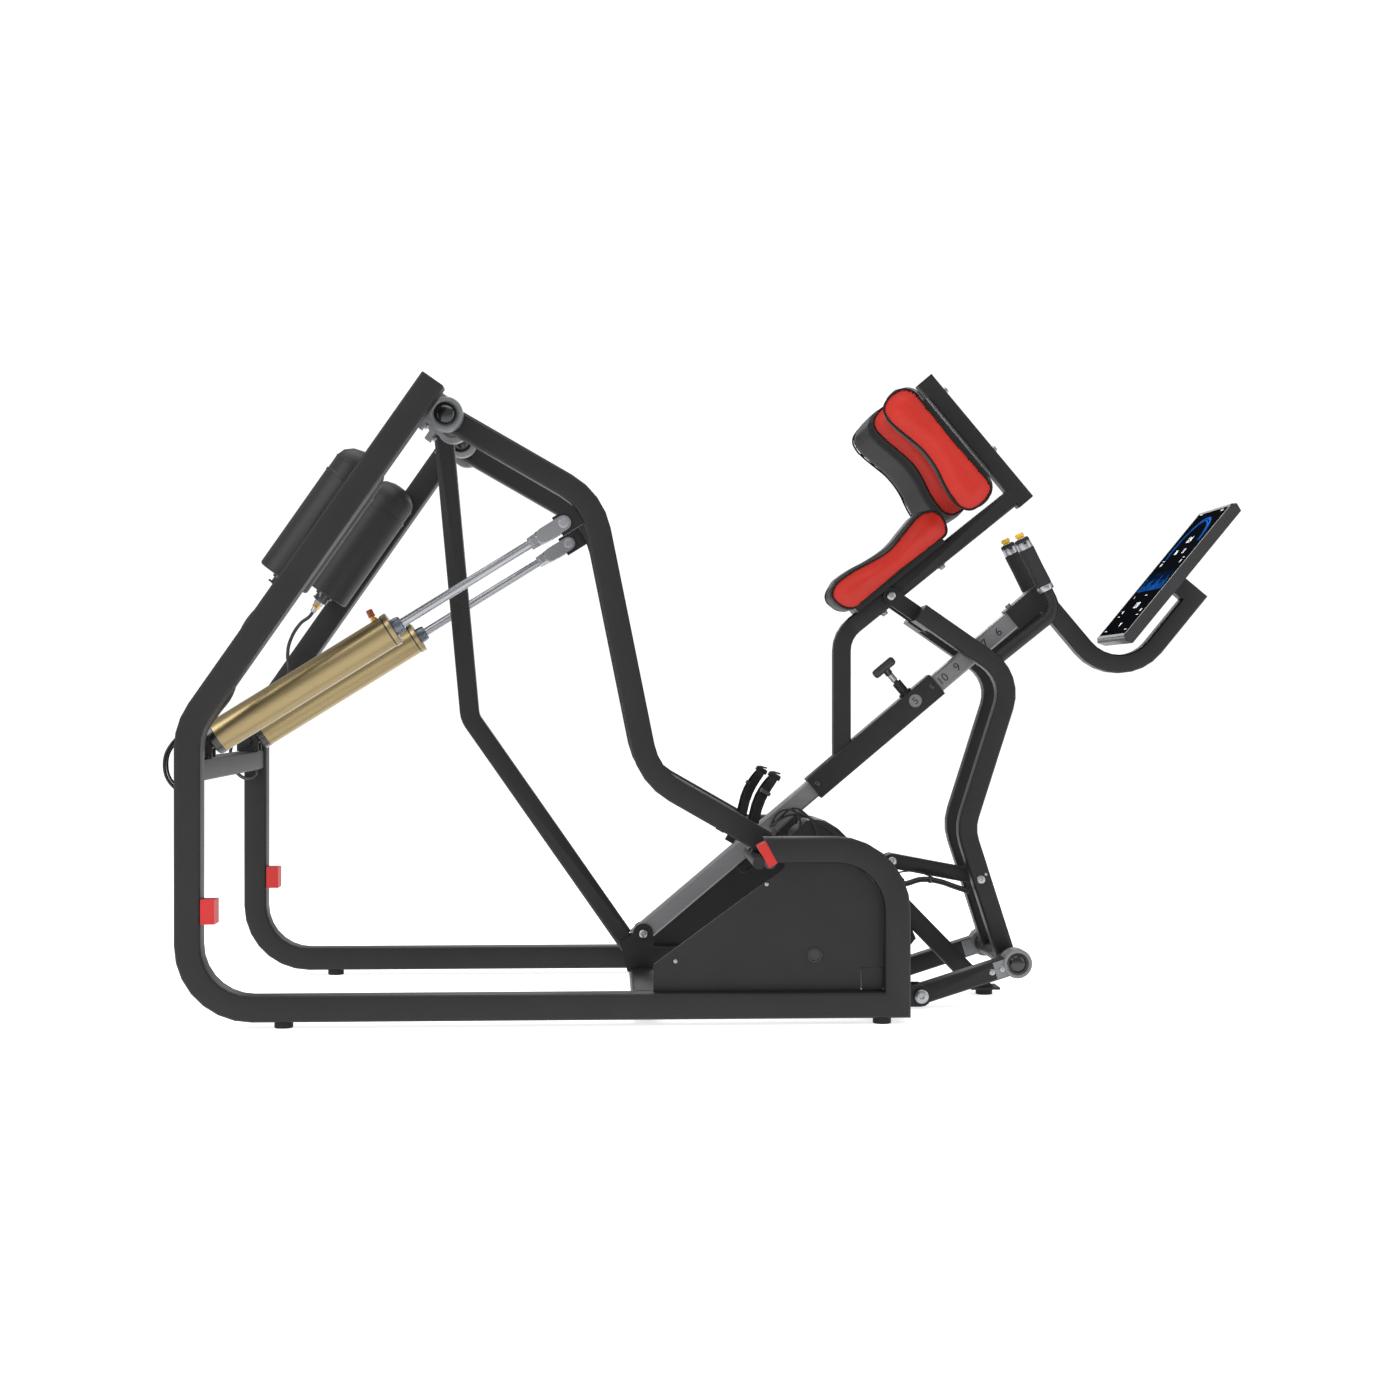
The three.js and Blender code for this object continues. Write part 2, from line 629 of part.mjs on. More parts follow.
const board = [[44, -9], [44, -1], [300, -1], [300, -9]].map(([length, out]) => [
  length,
  padBack(0) + out,
]);
const pinHousing = [
  [0, half - 4],
  [19, half - 4],
  [19, half + 6],
  [13, half + 8],
  [13, half + 40],
  [0, half + 40],
];
const carriageParts = [
  bar([onStrut(SLEEVE.from), onStrut(SLEEVE.to)], rounded(SLEEVE.width, SLEEVE.width, 5), 0),
  bar([[POST_LINE, 640], [...padBarKnee, 90], padBarEnd], rounded(47, TUBE, 5), 0),
  bar(SHOULDER_BAR, tubeSection, 0),
  block(EAR_PIVOT, PAD_BAR_RISE, [-100, 200], [22, 35], -70, 70),
  fan(board, 0, 300, -1),
  fan(board, 0, 300, 1),
  turned(pinHousing, onStrut(PIN_AT), STRUT_RISE + Math.PI / 2, 0, 20),
];
const carriage = cut(
  join(...carriageParts),
  bar([onStrut(SLEEVE.from - 50), onStrut(SLEEVE.to + 50)], rounded(clear, clear, 5), 0),
  turned([[0, 10], [8, 10], [8, 120], [0, 120]], onStrut(PIN_AT), STRUT_RISE + Math.PI / 2, 0, 12),
  pinY(EAR_PIVOT, 9, -60, 60),
);
piece("pad_carriage", carriage, BLACK);

const pullPin = join(
  turned(
    [[0, 25.8], [5, 25.8], [7, 28], [7, 78], [8, 79], [8, 122], [0, 122]],
    onStrut(PIN_AT),
    STRUT_RISE + Math.PI / 2,
    0,
    12,
  ),
  turned(
    [[0, -35], [7, -35], [11, -32], [12.5, -27], [12.5, 27], [11, 32], [7, 35], [0, 35]],
    onStrut(PIN_AT, 125),
    STRUT_RISE,
    0,
    12,
  ),
);
piece("pull_pin", pullPin, PLASTIC);

// Smooth closed outline through a few [length, out] points, flat where it rests on its board.
function smooth(points, count) {
  const curve = new THREE.CatmullRomCurve3(
    points.map(([u, v]) => new THREE.Vector3(u, v, 0)),
    true,
    "centripetal",
  );
  return curve.getSpacedPoints(count).slice(0, count).map((p) => [p.x, Math.max(p.y, 0)]);
}

// Chest pad on the pad bar: thick at its ends, thinner at its waist.
const chestOutline = smooth(
  [[12, 0], [160, 0], [325, 0], [346, 30], [344, 66], [310, 88], [250, 80], [190, 68], [120, 73], [60, 84],
    [0, 82], [-22, 62], [-14, 20]],
  32,
);
const chestOrigin = onPadBar(-112, 35.5);
const chestPad = plate(
  chestOutline.map(([length, out]) => along(chestOrigin, PAD_BAR_RISE, length, out)),
  -84,
  84,
);
piece("chest_pad", chestPad, RED_PAD);

// Shoulder pads on the wings, hollowed towards the middle of the shoulder.
const shoulderOutline = smooth(
  [[12, 0], [170, 0], [322, 0], [342, 22], [341, 80], [322, 98], [262, 99], [197, 85], [130, 83], [72, 93],
    [15, 98], [-14, 82], [-18, 24]],
  32,
).map(([length, out]) => [length, padBack(0) + out + 0.5]);
bothSides((side, name) => piece(`shoulder_pad_${name}`, fan(shoulderOutline, 140, 322, side), RED_PAD));

// ---------- uprights, links and handles ----------
const uprightParts = [pinY(HUB, 27, -203, 203, 20), pinY(EAR_PIVOT, 7, -44, 44)];
for (const side of [-1, 1]) {
  const s = (y) => side * y;
  const corners = [[838, 1029], [1086, 858, 110], [957, 455, 120], HUB];
  uprightParts.push(bar(corners, tubeSection, s(UPRIGHT_Y)));
  uprightParts.push(eyePlate(EAR_PIVOT, [880, 1000], 21.5, s(28), s(38)));
  uprightParts.push(pinY(EAR_PIVOT, 12, s(37), s(44), 12));
  uprightParts.push(block([838, 1029], slope([838, 1029], [1086, 858]), [0, 45], [-25, 25], s(28), s(93)));
  const handle = [GRIP_END, [1206, 1034, 45], [1036, 898.5]];
  uprightParts.push(bar(handle, circle(16.5, 12), s(UPRIGHT_Y)));
}
piece("upright_frame", join(...uprightParts), BLACK);

const GRIP_FALL = slope(GRIP_TOP, GRIP_END);
bothSides((side, name) => {
  const y = side * UPRIGHT_Y;
  const length = reach(GRIP_TOP, GRIP_END) - GAP;
  const gripProfile = [
    [0, 8],
    [11.5, 8],
    [11.5, 0],
    [17, 0],
    [20, 3],
    [20, length],
    [0, length],
  ];
  const buttonProfile = [[0, -16], [10, -16], [12, -13], [12, -4.5], [10.5, -4.5], [10.5, 3], [0, 3]];
  piece(`grip_${name}`, turned(gripProfile, GRIP_TOP, GRIP_FALL, y), RUBBER);
  piece(`thumb_button_${name}`, turned(buttonProfile, GRIP_TOP, GRIP_FALL, y, 20), YELLOW);

  const s = (value) => side * value;
  const linkAngle = slope(LINK_PIVOT, HUB);
  const link = cut(
    join(
      bar([LINK_PIVOT, along(HUB, linkAngle, -28)], tubeSection, s(LINK_Y)),
      pinY(LINK_PIVOT, 25, s(LINK_Y - 25), s(LINK_Y + 25), 16),
      pinY(HUB, 37, s(LINK_Y - 23), s(LINK_Y + 25), 24),
    ),
    pinY(LINK_PIVOT, 9.5, s(150), s(300)),
    pinY(HUB, 26, s(LINK_Y + 17), s(LINK_Y + 40), 16),
  );
  const cap = pinY(HUB, 17, s(LINK_Y + 10), s(LINK_Y + 22));
  piece(`lower_link_${name}`, join(link, cap), BLACK);
});

const upperLink = cut(
  join(
    bar([UPPER_LINK_PIVOT, UPPER_LINK_END], rounded(40, 42, 4), 0),
    pinY(UPPER_LINK_PIVOT, 20, -21, 21),
  ),
  pinY(UPPER_LINK_PIVOT, 7.5, -40, 40),
);
piece("upper_link", upperLink, BLACK);

// ---------- display ----------
const onDisplay = (length, depth) => along(DISPLAY_FOOT, DISPLAY_RISE, length, -depth);
const chamfer = 8;
const displayOutline = [
  [0, 0],
  [DISPLAY_LENGTH, 0],
  [DISPLAY_LENGTH + chamfer, chamfer],
  [DISPLAY_LENGTH, DISPLAY_DEPTH],
  [0, DISPLAY_DEPTH],
  [-chamfer, chamfer],
].map(([length, depth]) => onDisplay(length, depth));
piece("display", plate(displayOutline, -DISPLAY_HALF_WIDTH, DISPLAY_HALF_WIDTH), PLASTIC);

const armCorner = [1601, 1075];
const armReach = (armCorner[0] - DISPLAY_FOOT[0]) * Math.cos(DISPLAY_RISE);
const cornerLength = armReach + (armCorner[1] - DISPLAY_FOOT[1]) * Math.sin(DISPLAY_RISE);
const displayArm = join(
  block(STRUT_FOOT, STRUT_RISE, [STRUT_END + GAP, 1420], [-31, 31], -31, 31),
  bar([[1176, 1083], [1395, 825, 125], armCorner, onDisplay(cornerLength, DISPLAY_DEPTH + GAP)], tubeSection, 0),
  block(
    onDisplay(cornerLength, DISPLAY_DEPTH + 8),
    DISPLAY_RISE,
    [-45, 45],
    [0, 8 - GAP],
    -50,
    50,
  ),
);
piece("display_arm", displayArm, BLACK);

// ---------- boxes and cables behind the covers ----------
const boxOutline = [
  [500, 250],
  [POST_X - TUBE / 2 - GAP, 250],
  [POST_X - TUBE / 2 - GAP, 395],
  [650, 424],
  ...arc([560, 410], 68, 30, 110, 6),
  [500, 440],
];
piece("valve_box", plate(boxOutline, -70, 70), PLASTIC);

const bundle = [
  [758, -44, 318],
  [776, -46, 307],
  [800, -48, 304],
  [850, -50, 316],
  [895, -52, 311],
  [940, -54, 296],
  [976, -56, 284],
];
piece("cable_bundle", hose(bundle, 8, 12), RUBBER);

export default group;
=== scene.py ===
import json
import math

import bmesh
import bpy
import numpy as np
from mathutils import Matrix, Vector
from mathutils.kdtree import KDTree


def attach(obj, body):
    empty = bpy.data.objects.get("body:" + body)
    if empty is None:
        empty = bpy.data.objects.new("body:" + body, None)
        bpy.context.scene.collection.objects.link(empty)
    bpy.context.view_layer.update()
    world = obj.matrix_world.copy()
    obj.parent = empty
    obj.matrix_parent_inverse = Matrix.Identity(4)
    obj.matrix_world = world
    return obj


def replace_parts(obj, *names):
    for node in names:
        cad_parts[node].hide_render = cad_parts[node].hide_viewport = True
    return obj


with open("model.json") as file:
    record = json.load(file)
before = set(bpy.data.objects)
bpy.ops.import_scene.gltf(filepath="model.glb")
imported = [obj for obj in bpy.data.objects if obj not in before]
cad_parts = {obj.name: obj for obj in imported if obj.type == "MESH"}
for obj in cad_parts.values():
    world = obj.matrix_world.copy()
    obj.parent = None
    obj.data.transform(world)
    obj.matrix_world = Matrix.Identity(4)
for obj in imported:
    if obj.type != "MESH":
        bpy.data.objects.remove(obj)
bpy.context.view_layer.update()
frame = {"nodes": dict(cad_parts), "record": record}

# ---------- places: millimetres from the CAD datum, X and Z in the side view, Y across ----------
DATUM = 0.303
ARM_PIVOT = (-395, 1507)
ARM_END = (405, 437)
LOWER_ARM = math.atan2(437 - 606, 405 - 110)
ARM_Y = 334
PEDAL_Y = 214
CLEVIS_PIN = (-104, 1242)
BARREL_PIVOT = (-1006.5, 681)
BARREL_RISE = math.atan2(1242 - 681, -104 + 1006.5)
COLUMN_LEAN = math.radians(55.15)
TOP_BEAM = (-451.5, 1546)
TANK_FOOT = (-798.5, 1099)
TANK_Y = 370
STRUT_FOOT = (102, 172)
STRUT_RISE = math.radians(40.1)
PAD_BAR_RISE = math.radians(38.8)
EAR_PIVOT = (768, 1077)
SHOULDER_BAR = ((861.5, 1662), (1139, 1333))
SHOULDER_FALL = math.atan2(1333 - 1662, 1139 - 861.5)
UPRIGHT_Y = 93
HUB = (1067, 114)
LINK_PIVOT = (814, 34)
UPPER_LINK_PIVOT = (772, 363)
LINK_Y = 229
GRIP_TOP = (1109, 1227)
GRIP_FALL = math.atan2(1094 - 1227, 1176 - 1109)
DISPLAY_FOOT = (1374, 967)
DISPLAY_RISE = math.radians(50.4)
SIDES = ((-1, "right"), (1, "left"))
ACROSS = Vector((0, 1, 0))


def at(place, y=0.0):
    """The point at an (x, z) place of the datum, y millimetres across, in metres."""
    return Vector((place[0] / 1000 - DATUM, y / 1000, place[1] / 1000))


def heading(angle):
    """Unit vector in the side view, at an angle above +X."""
    return Vector((math.cos(angle), 0, math.sin(angle)))


def along(place, angle, distance, offset=0.0, y=0.0):
    """Point a distance along a slanted line from a place, and an offset to its upper left."""
    return at(place, y) + heading(angle) * (distance / 1000) + heading(angle + math.pi / 2) * (offset / 1000)


# ---------- camera and light ----------
camera = bpy.data.objects.new("camera", bpy.data.cameras.new("camera"))
camera.data.lens = 51.43
camera.data.sensor_width = 36
camera.location = (-DATUM, -5.385, 0.797)
camera.rotation_euler = (math.radians(90), 0, math.radians(-2.72))
bpy.context.collection.objects.link(camera)
bpy.context.scene.camera = camera
bpy.context.scene.view_settings.view_transform = "Standard"


def softbox(name, place, target, size, power):
    lamp = bpy.data.lights.new(name, "AREA")
    lamp.shape = "RECTANGLE"
    lamp.size, lamp.size_y = size
    lamp.energy = power
    holder = bpy.data.objects.new(name, lamp)
    holder.location = place
    holder.rotation_euler = (Vector(target) - Vector(place)).to_track_quat("-Z", "Y").to_euler()
    bpy.context.collection.objects.link(holder)


softbox("top_light", (-0.4, -0.4, 4.2), (0, 0, 0.6), (4.5, 3.0), 95)
softbox("key_light", (-3.6, -2.6, 3.0), (0, 0, 0.8), (2.2, 2.2), 75)
softbox("side_light", (3.6, -1.6, 2.0), (0.2, 0, 0.7), (1.2, 2.6), 22)
softbox("back_light", (0.5, 3.8, 2.6), (0, 0, 0.8), (3.5, 1.6), 45)


def studio_world(seen, lit):
    """White surround: one strength where the camera sees it, a dimmer one where it lights the machine."""
    world = bpy.data.worlds.new("studio")
    world.use_nodes = True
    tree = world.node_tree
    tree.nodes["Background"].inputs["Color"].default_value = (1, 1, 1, 1)
    path = tree.nodes.new("ShaderNodeLightPath")
    strength = tree.nodes.new("ShaderNodeMapRange")
    strength.inputs["To Min"].default_value = lit
    strength.inputs["To Max"].default_value = seen
    tree.links.new(path.outputs["Is Camera Ray"], strength.inputs["Value"])
    tree.links.new(strength.outputs["Result"], tree.nodes["Background"].inputs["Strength"])
    bpy.context.scene.world = world


studio_world(1.1, 0.5)


# ---------- materials ----------
def srgb(r, g, b):
    """Linear colour of an 8-bit display colour."""

    def linear(level):
        return level / 255 / 12.92 if level <= 10 else ((level / 255 + 0.055) / 1.055) ** 2.4

    return tuple(linear(level) for level in (r, g, b)) + (1,)


def surface(
    name,
    colour,
    rough,
    shade=0.8,
    metal=0.0,
    specular=0.5,
    coat=0.0,
    glow=0.0,
    patch=9.0,
    grain=900.0,
    height=0.00015,
    stretch=(1, 1, 1),
    turn=(0, 0, 0),
    pebbles=False,
):
    """Procedural finish: cloudy colour and roughness.

    A fine grain lies over it, and may be stretched into brush lines.
    """
    material = bpy.data.materials.new(name)
    material.use_nodes = True
    tree = material.node_tree
    shader = tree.nodes["Principled BSDF"]
    shader.inputs["Metallic"].default_value = metal
    shader.inputs["Specular IOR Level"].default_value = specular
    shader.inputs["Coat Weight"].default_value = coat
    shader.inputs["Coat Roughness"].default_value = 0.25

    place = tree.nodes.new("ShaderNodeTexCoord")
    mapping = tree.nodes.new("ShaderNodeMapping")
    mapping.inputs["Rotation"].default_value = turn
    mapping.inputs["Scale"].default_value = stretch
    tree.links.new(place.outputs["Object"], mapping.inputs["Vector"])

    def noise(scale, detail):
        node = tree.nodes.new("ShaderNodeTexNoise")
        node.inputs["Scale"].default_value = scale
        node.inputs["Detail"].default_value = detail
        tree.links.new(mapping.outputs["Vector"], node.inputs["Vector"])
        return node

    cloud = noise(patch, 4)
    ramp = tree.nodes.new("ShaderNodeValToRGB")
    ramp.color_ramp.elements[0].position = 0.3
    ramp.color_ramp.elements[1].position = 0.7
    ramp.color_ramp.elements[0].color = tuple(c * shade for c in colour[:3]) + (1,)
    ramp.color_ramp.elements[1].color = colour
    tree.links.new(cloud.outputs["Fac"], ramp.inputs["Fac"])
    tree.links.new(ramp.outputs["Color"], shader.inputs["Base Color"])
    if glow:
        tree.links.new(ramp.outputs["Color"], shader.inputs["Emission Color"])
        shader.inputs["Emission Strength"].default_value = glow

    if pebbles:
        fine = tree.nodes.new("ShaderNodeTexVoronoi")
        fine.inputs["Scale"].default_value = grain
        tree.links.new(mapping.outputs["Vector"], fine.inputs["Vector"])
        relief = fine.outputs["Distance"]
    else:
        relief = noise(grain, 3).outputs["Fac"]
    spread = tree.nodes.new("ShaderNodeMapRange")
    spread.inputs["To Min"].default_value = max(rough - 0.07, 0.02)
    spread.inputs["To Max"].default_value = rough + 0.07
    tree.links.new(relief, spread.inputs["Value"])
    tree.links.new(spread.outputs["Result"], shader.inputs["Roughness"])
    bump = tree.nodes.new("ShaderNodeBump")
    bump.inputs["Distance"].default_value = height
    bump.inputs["Strength"].default_value = 0.6
    tree.links.new(relief, bump.inputs["Height"])
    tree.links.new(bump.outputs["Normal"], shader.inputs["Normal"])
    return material


powder = surface("powder_coat", srgb(30, 30, 32), 0.48, specular=0.32, grain=1400, height=0.0002)
strut_steel = surface(
    "satin_grey", srgb(124, 124, 126), 0.4, shade=0.92, metal=0.3, grain=60, height=0.00003,
    stretch=(1, 12, 12), turn=(0, STRUT_RISE, 0),
)
cast = surface("cast_grey", srgb(126, 128, 130), 0.5, metal=0.35, grain=420, height=0.0004, pebbles=True)
zinc = surface("zinc", srgb(168, 170, 174), 0.36, shade=0.92, metal=1.0, patch=40, grain=60, height=0.00002)
rod_chrome = surface("rod_chrome", srgb(158, 160, 164), 0.3, shade=0.94, metal=1.0, grain=12, height=0.00001)
gland_steel = surface("gland_steel", srgb(112, 118, 128), 0.34, metal=0.9, grain=60, height=0.00002)
gold = surface("gold_tube", srgb(148, 132, 96), 0.34, shade=0.95, metal=0.85, grain=40, height=0.00003,
               stretch=(1, 18, 18), turn=(0, BARREL_RISE, 0))
red_vinyl = surface("red_vinyl", srgb(186, 40, 28), 0.46, shade=0.9, specular=0.3, patch=14, grain=1100,
                    height=0.00005, pebbles=True)
black_vinyl = surface("black_vinyl", srgb(17, 17, 19), 0.55, specular=0.2, grain=500, height=0.00003)
red_rubber = surface("red_rubber", srgb(188, 26, 24), 0.5, shade=0.85, grain=600, height=0.0002)
rubber = surface("black_rubber", srgb(26, 26, 28), 0.62, specular=0.3, grain=800, height=0.00025)
hose_rubber = surface("hose_rubber", srgb(22, 22, 24), 0.35, grain=600, height=0.0001)
plastic = surface("black_plastic", srgb(40, 40, 42), 0.42, grain=1100, height=0.00015)
grip_foam = surface("grip_foam", srgb(46, 46, 48), 0.7, specular=0.25, grain=520, height=0.0004, pebbles=True)
yellow = surface("yellow_plastic", srgb(236, 186, 44), 0.3, shade=0.9, coat=0.3, grain=500, height=0.00008)
brass = surface("brass", srgb(206, 160, 84), 0.25, metal=1.0, grain=400, height=0.00005)
copper = surface("copper", srgb(150, 84, 58), 0.4, metal=0.9, patch=60, grain=400, height=0.0001)
cap_black = surface("cap_black", srgb(20, 20, 21), 0.22, coat=0.4, grain=500, height=0.00005)
glass = surface("screen_glass", srgb(14, 15, 19), 0.6, specular=0.0, patch=3, grain=30, height=0.00001)
ink = surface("dark_ink", srgb(24, 24, 26), 0.5, grain=900, height=0.00005)
badge = surface("badge_grey", srgb(120, 122, 124), 0.4, metal=0.4, grain=500, height=0.00005)
screen_white = surface("screen_white", srgb(232, 238, 244), 0.4, glow=0.45, shade=0.95, patch=200)
screen_blue = surface("screen_blue", srgb(28, 96, 190), 0.6, specular=0.0, glow=0.5, shade=0.55, patch=16)
screen_navy = surface("screen_navy", srgb(8, 26, 48), 0.6, specular=0.0, glow=0.25, shade=0.5, patch=40)

FINISH = {
    "black_powder_coat": powder,
    "grey_satin_steel": strut_steel,
    "grey_cast_iron": cast,
    "zinc_plated_steel": rod_chrome,
    "gold_anodised_tube": gold,
    "red_upholstery": red_vinyl,
    "red_rubber": red_rubber,
    "black_rubber": rubber,
    "black_plastic": plastic,
    "yellow_plastic": yellow,
}


# ---------- CAD nodes: weld, smooth across shallow edges, finish ----------
def shading_group(name, limit):
    """Geometry nodes that weld a mesh and shade it smooth across bends below a limit, in degrees."""
    tree = bpy.data.node_groups.new(name, "GeometryNodeTree")
    tree.interface.new_socket("Geometry", in_out="INPUT", socket_type="NodeSocketGeometry")
    tree.interface.new_socket("Geometry", in_out="OUTPUT", socket_type="NodeSocketGeometry")
    start = tree.nodes.new("NodeGroupInput")
    end = tree.nodes.new("NodeGroupOutput")
    weld = tree.nodes.new("GeometryNodeMergeByDistance")
    weld.inputs["Distance"].default_value = 2e-5
    bend = tree.nodes.new("GeometryNodeInputMeshEdgeAngle")
    shallow = tree.nodes.new("FunctionNodeCompare")
    shallow.data_type = "FLOAT"
    shallow.operation = "LESS_THAN"
    shallow.inputs["B"].default_value = math.radians(limit)
    faces = tree.nodes.new("GeometryNodeSetShadeSmooth")
    edges = tree.nodes.new("GeometryNodeSetShadeSmooth")
    edges.domain = "EDGE"
    tree.links.new(start.outputs[0], weld.inputs["Geometry"])
    tree.links.new(weld.outputs["Geometry"], faces.inputs["Geometry"])
    tree.links.new(faces.outputs["Geometry"], edges.inputs["Geometry"])
    tree.links.new(bend.outputs["Unsigned Angle"], shallow.inputs["A"])
    tree.links.new(shallow.outputs["Result"], edges.inputs["Shade Smooth"])
    tree.links.new(edges.outputs["Geometry"], end.inputs[0])
    return tree


rounded = shading_group("weld_and_round", 50)
crisp = shading_group("weld_and_crisp", 40)
slot_of = {part["node"]: part["material_slot"] for part in frame["record"]["subparts"]}
for node, obj in frame["nodes"].items():
    finish = grip_foam if node.startswith("grip") else FINISH[slot_of[node]]
    obj.data.materials.clear()
    obj.data.materials.append(finish)
    if "custom_normal" in obj.data.attributes:
        obj.data.attributes.remove(obj.data.attributes["custom_normal"])
    obj.modifiers.new("shading", "NODES").node_group = crisp if node == "strut" else rounded
    weighted = obj.modifiers.new("weighted", "WEIGHTED_NORMAL")
    weighted.keep_sharp = True
    weighted.mode = "FACE_AREA_WITH_ANGLE"


# ---------- builders for small parts ----------
WASHER = 1.8  # thickness of a washer, in millimetres


class Parts:
    """Many small solids of one finish, as one mesh that rides on one body."""

    def __init__(self, name, body, material, slot):
        self.name, self.body, self.material, self.slot = name, body, material, slot
        self.bm = bmesh.new()

    def rings(self, rings, closed=False):
        """Skins rings of points; a ring of one point closes an end."""
        made = [[self.bm.verts.new(p) for p in ring] for ring in rings]
        pairs = list(zip(made, made[1:] + made[:1] if closed else made[1:]))
        for low, high in pairs:
            count = max(len(low), len(high))
            for k in range(count):
                j = (k + 1) % count
                if len(low) == 1:
                    self.bm.faces.new((low[0], high[j], high[k]))
                elif len(high) == 1:
                    self.bm.faces.new((low[k], low[j], high[0]))
                else:
                    self.bm.faces.new((low[k], low[j], high[j], high[k]))
        if not closed:
            for ring in (made[0], made[-1]):
                if len(ring) > 2:
                    self.bm.faces.new(ring)

    def turned(self, centre, axis, profile, sides=28, phase=0.0):
        """Solid of revolution: profile is (distance along the axis, radius) in millimetres."""
        axis = axis.normalized()
        first = axis.cross(ACROSS if abs(axis.y) < 0.9 else Vector((1, 0, 0))).normalized()
        second = axis.cross(first)
        rings = []
        for distance, radius in profile:
            middle = centre + axis * (distance / 1000)
            if radius == 0:
                rings.append([middle])
                continue
            turns = [phase + 2 * math.pi * k / sides for k in range(sides)]
            spokes = [first * math.cos(a) + second * math.sin(a) for a in turns]
            rings.append([middle + spoke * (radius / 1000) for spoke in spokes])
        self.rings(rings)

    def block(self, centre, x_axis, z_axis, size):
        """Box with its length along x_axis and its height along z_axis; size in millimetres."""
        y_axis = z_axis.cross(x_axis)
        steps = [axis * (length / 2000) for axis, length in zip((x_axis, y_axis, z_axis), size)]
        ring = [(-1, -1), (1, -1), (1, 1), (-1, 1)]
        low, high = (
            [centre + steps[0] * i + steps[1] * j + steps[2] * k for i, j in ring] for k in (-1, 1)
        )
        self.rings([low, high])

    def bolt(self, centre, axis, across=15, height=7, washer=True):
        """Hexagon head with a chamfered crown, on a washer."""
        start = 0.0
        if washer:
            self.turned(centre, axis, [(0, 0), (0, across * 0.75), (WASHER, across * 0.75), (WASHER, 0)])
            start = WASHER
        radius = across / math.sqrt(3)
        top = start + height
        self.turned(
            centre, axis,
            [(start, 0), (start, radius), (top - 1.2, radius), (top, radius * 0.84), (top, 0)],
            sides=6,
        )

    def button(self, centre, axis, radius=8, height=4):
        """Domed button head with a hex socket ring."""
        self.turned(
            centre, axis,
            [(0, 0), (0, radius), (height * 0.45, radius), (height * 0.85, radius * 0.78),
             (height, radius * 0.5), (height, radius * 0.34), (height * 0.35, radius * 0.3), (height * 0.35, 0)],
        )

    def done(self, bevel=0.5):
        bmesh.ops.recalc_face_normals(self.bm, faces=self.bm.faces)
        mesh = bpy.data.meshes.new(self.name)
        self.bm.to_mesh(mesh)
        self.bm.free()
        mesh.shade_smooth()
        mesh.set_sharp_from_angle(angle=math.radians(38))
        mesh.materials.append(self.material)
        obj = bpy.data.objects.new(self.name, mesh)
        bpy.context.collection.objects.link(obj)
        if bevel:
            edge = obj.modifiers.new("edges", "BEVEL")
            edge.width = bevel / 1000
            edge.segments = 2
            edge.limit_method = "ANGLE"
            edge.angle_limit = math.radians(38)
            edge.harden_normals = True
        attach(obj, self.body)
        return obj


def hose(name, points, radius, body, material=None, closed=False):
    """Smooth round cable through a few points, in metres."""
    curve = bpy.data.curves.new(name, "CURVE")
    curve.dimensions = "3D"
    curve.bevel_depth = radius / 1000
    curve.bevel_resolution = 4
    curve.resolution_u = 10
    curve.use_fill_caps = True
    spline = curve.splines.new("BEZIER")
    spline.bezier_points.add(len(points) - 1)
    spline.use_cyclic_u = closed
    for knot, point in zip(spline.bezier_points, points):
        knot.co = point
        knot.handle_left_type = knot.handle_right_type = "AUTO"
    obj = bpy.data.objects.new(name, curve)
    obj.data.materials.append(material or hose_rubber)
    bpy.context.collection.objects.link(obj)
    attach(obj, body)
    return obj


def marking(name, text, centre, right, up, size, material, body):
    """Generic number as thin raised text."""
    curve = bpy.data.curves.new(name, "FONT")
    curve.body = text
    curve.size = size / 1000
    curve.extrude = 0.00025
    curve.align_x = "CENTER"
    curve.align_y = "CENTER"
    obj = bpy.data.objects.new(name, curve)
    out = right.cross(up)
    obj.matrix_world = Matrix.Translation(centre) @ Matrix((right, up, out)).transposed().to_4x4()
    obj.data.materials.append(material)
    bpy.context.collection.objects.link(obj)
    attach(obj, body)
    return obj


# ---------- pads: metres ----------
PAD_INSET = 0.003  # the CAD solid is drawn in by this before it is stuffed
PAD_VOXEL = 0.005
PAD_CROWN = 0.0065  # rise of the skin away from the sewn edges
PAD_CROWN_REACH = 0.042  # distance from a sewn edge at which the crown is full
PAD_PUFF_LIMIT = 0.0035  # the most that the simulation may move a point
PAD_SEAM_PULL = 0.0008  # how far the thread pulls the skin in at a sewn edge
PAD_BACK = 0.0033  # brings the flat back out to its board
PAD_RED_DEPTH = 0.002  # a face this near to an end plane is red
PIPING_PULL = 0.0044  # the piping lies this far inside the CAD edge
EVENING_ROUNDS = 30


def sewn_edges(bm):
    """The closed lines where a pad's flat sides meet its rim."""
    links = {}
    for edge in bm.edges:
        if len(edge.link_faces) == 2:
            flat = [abs(face.normal.y) > 0.98 for face in edge.link_faces]
            if flat[0] != flat[1]:
                for vert, other in (edge.verts, reversed(edge.verts)):
                    links.setdefault(vert, []).append(other)
    lines, seen = [], set()
    for start in links:
        if start in seen:
            continue
        line, here = [], start
        while here is not None and here not in seen:
            seen.add(here)
            line.append(here.co.copy())
            here = next((v for v in links[here] if v not in seen), None)
        lines.append(line)
    return lines


def evaluated_copy(obj):
    bpy.context.view_layer.update()
    ready = obj.evaluated_get(bpy.context.evaluated_depsgraph_get())
    return bpy.data.meshes.new_from_object(ready)


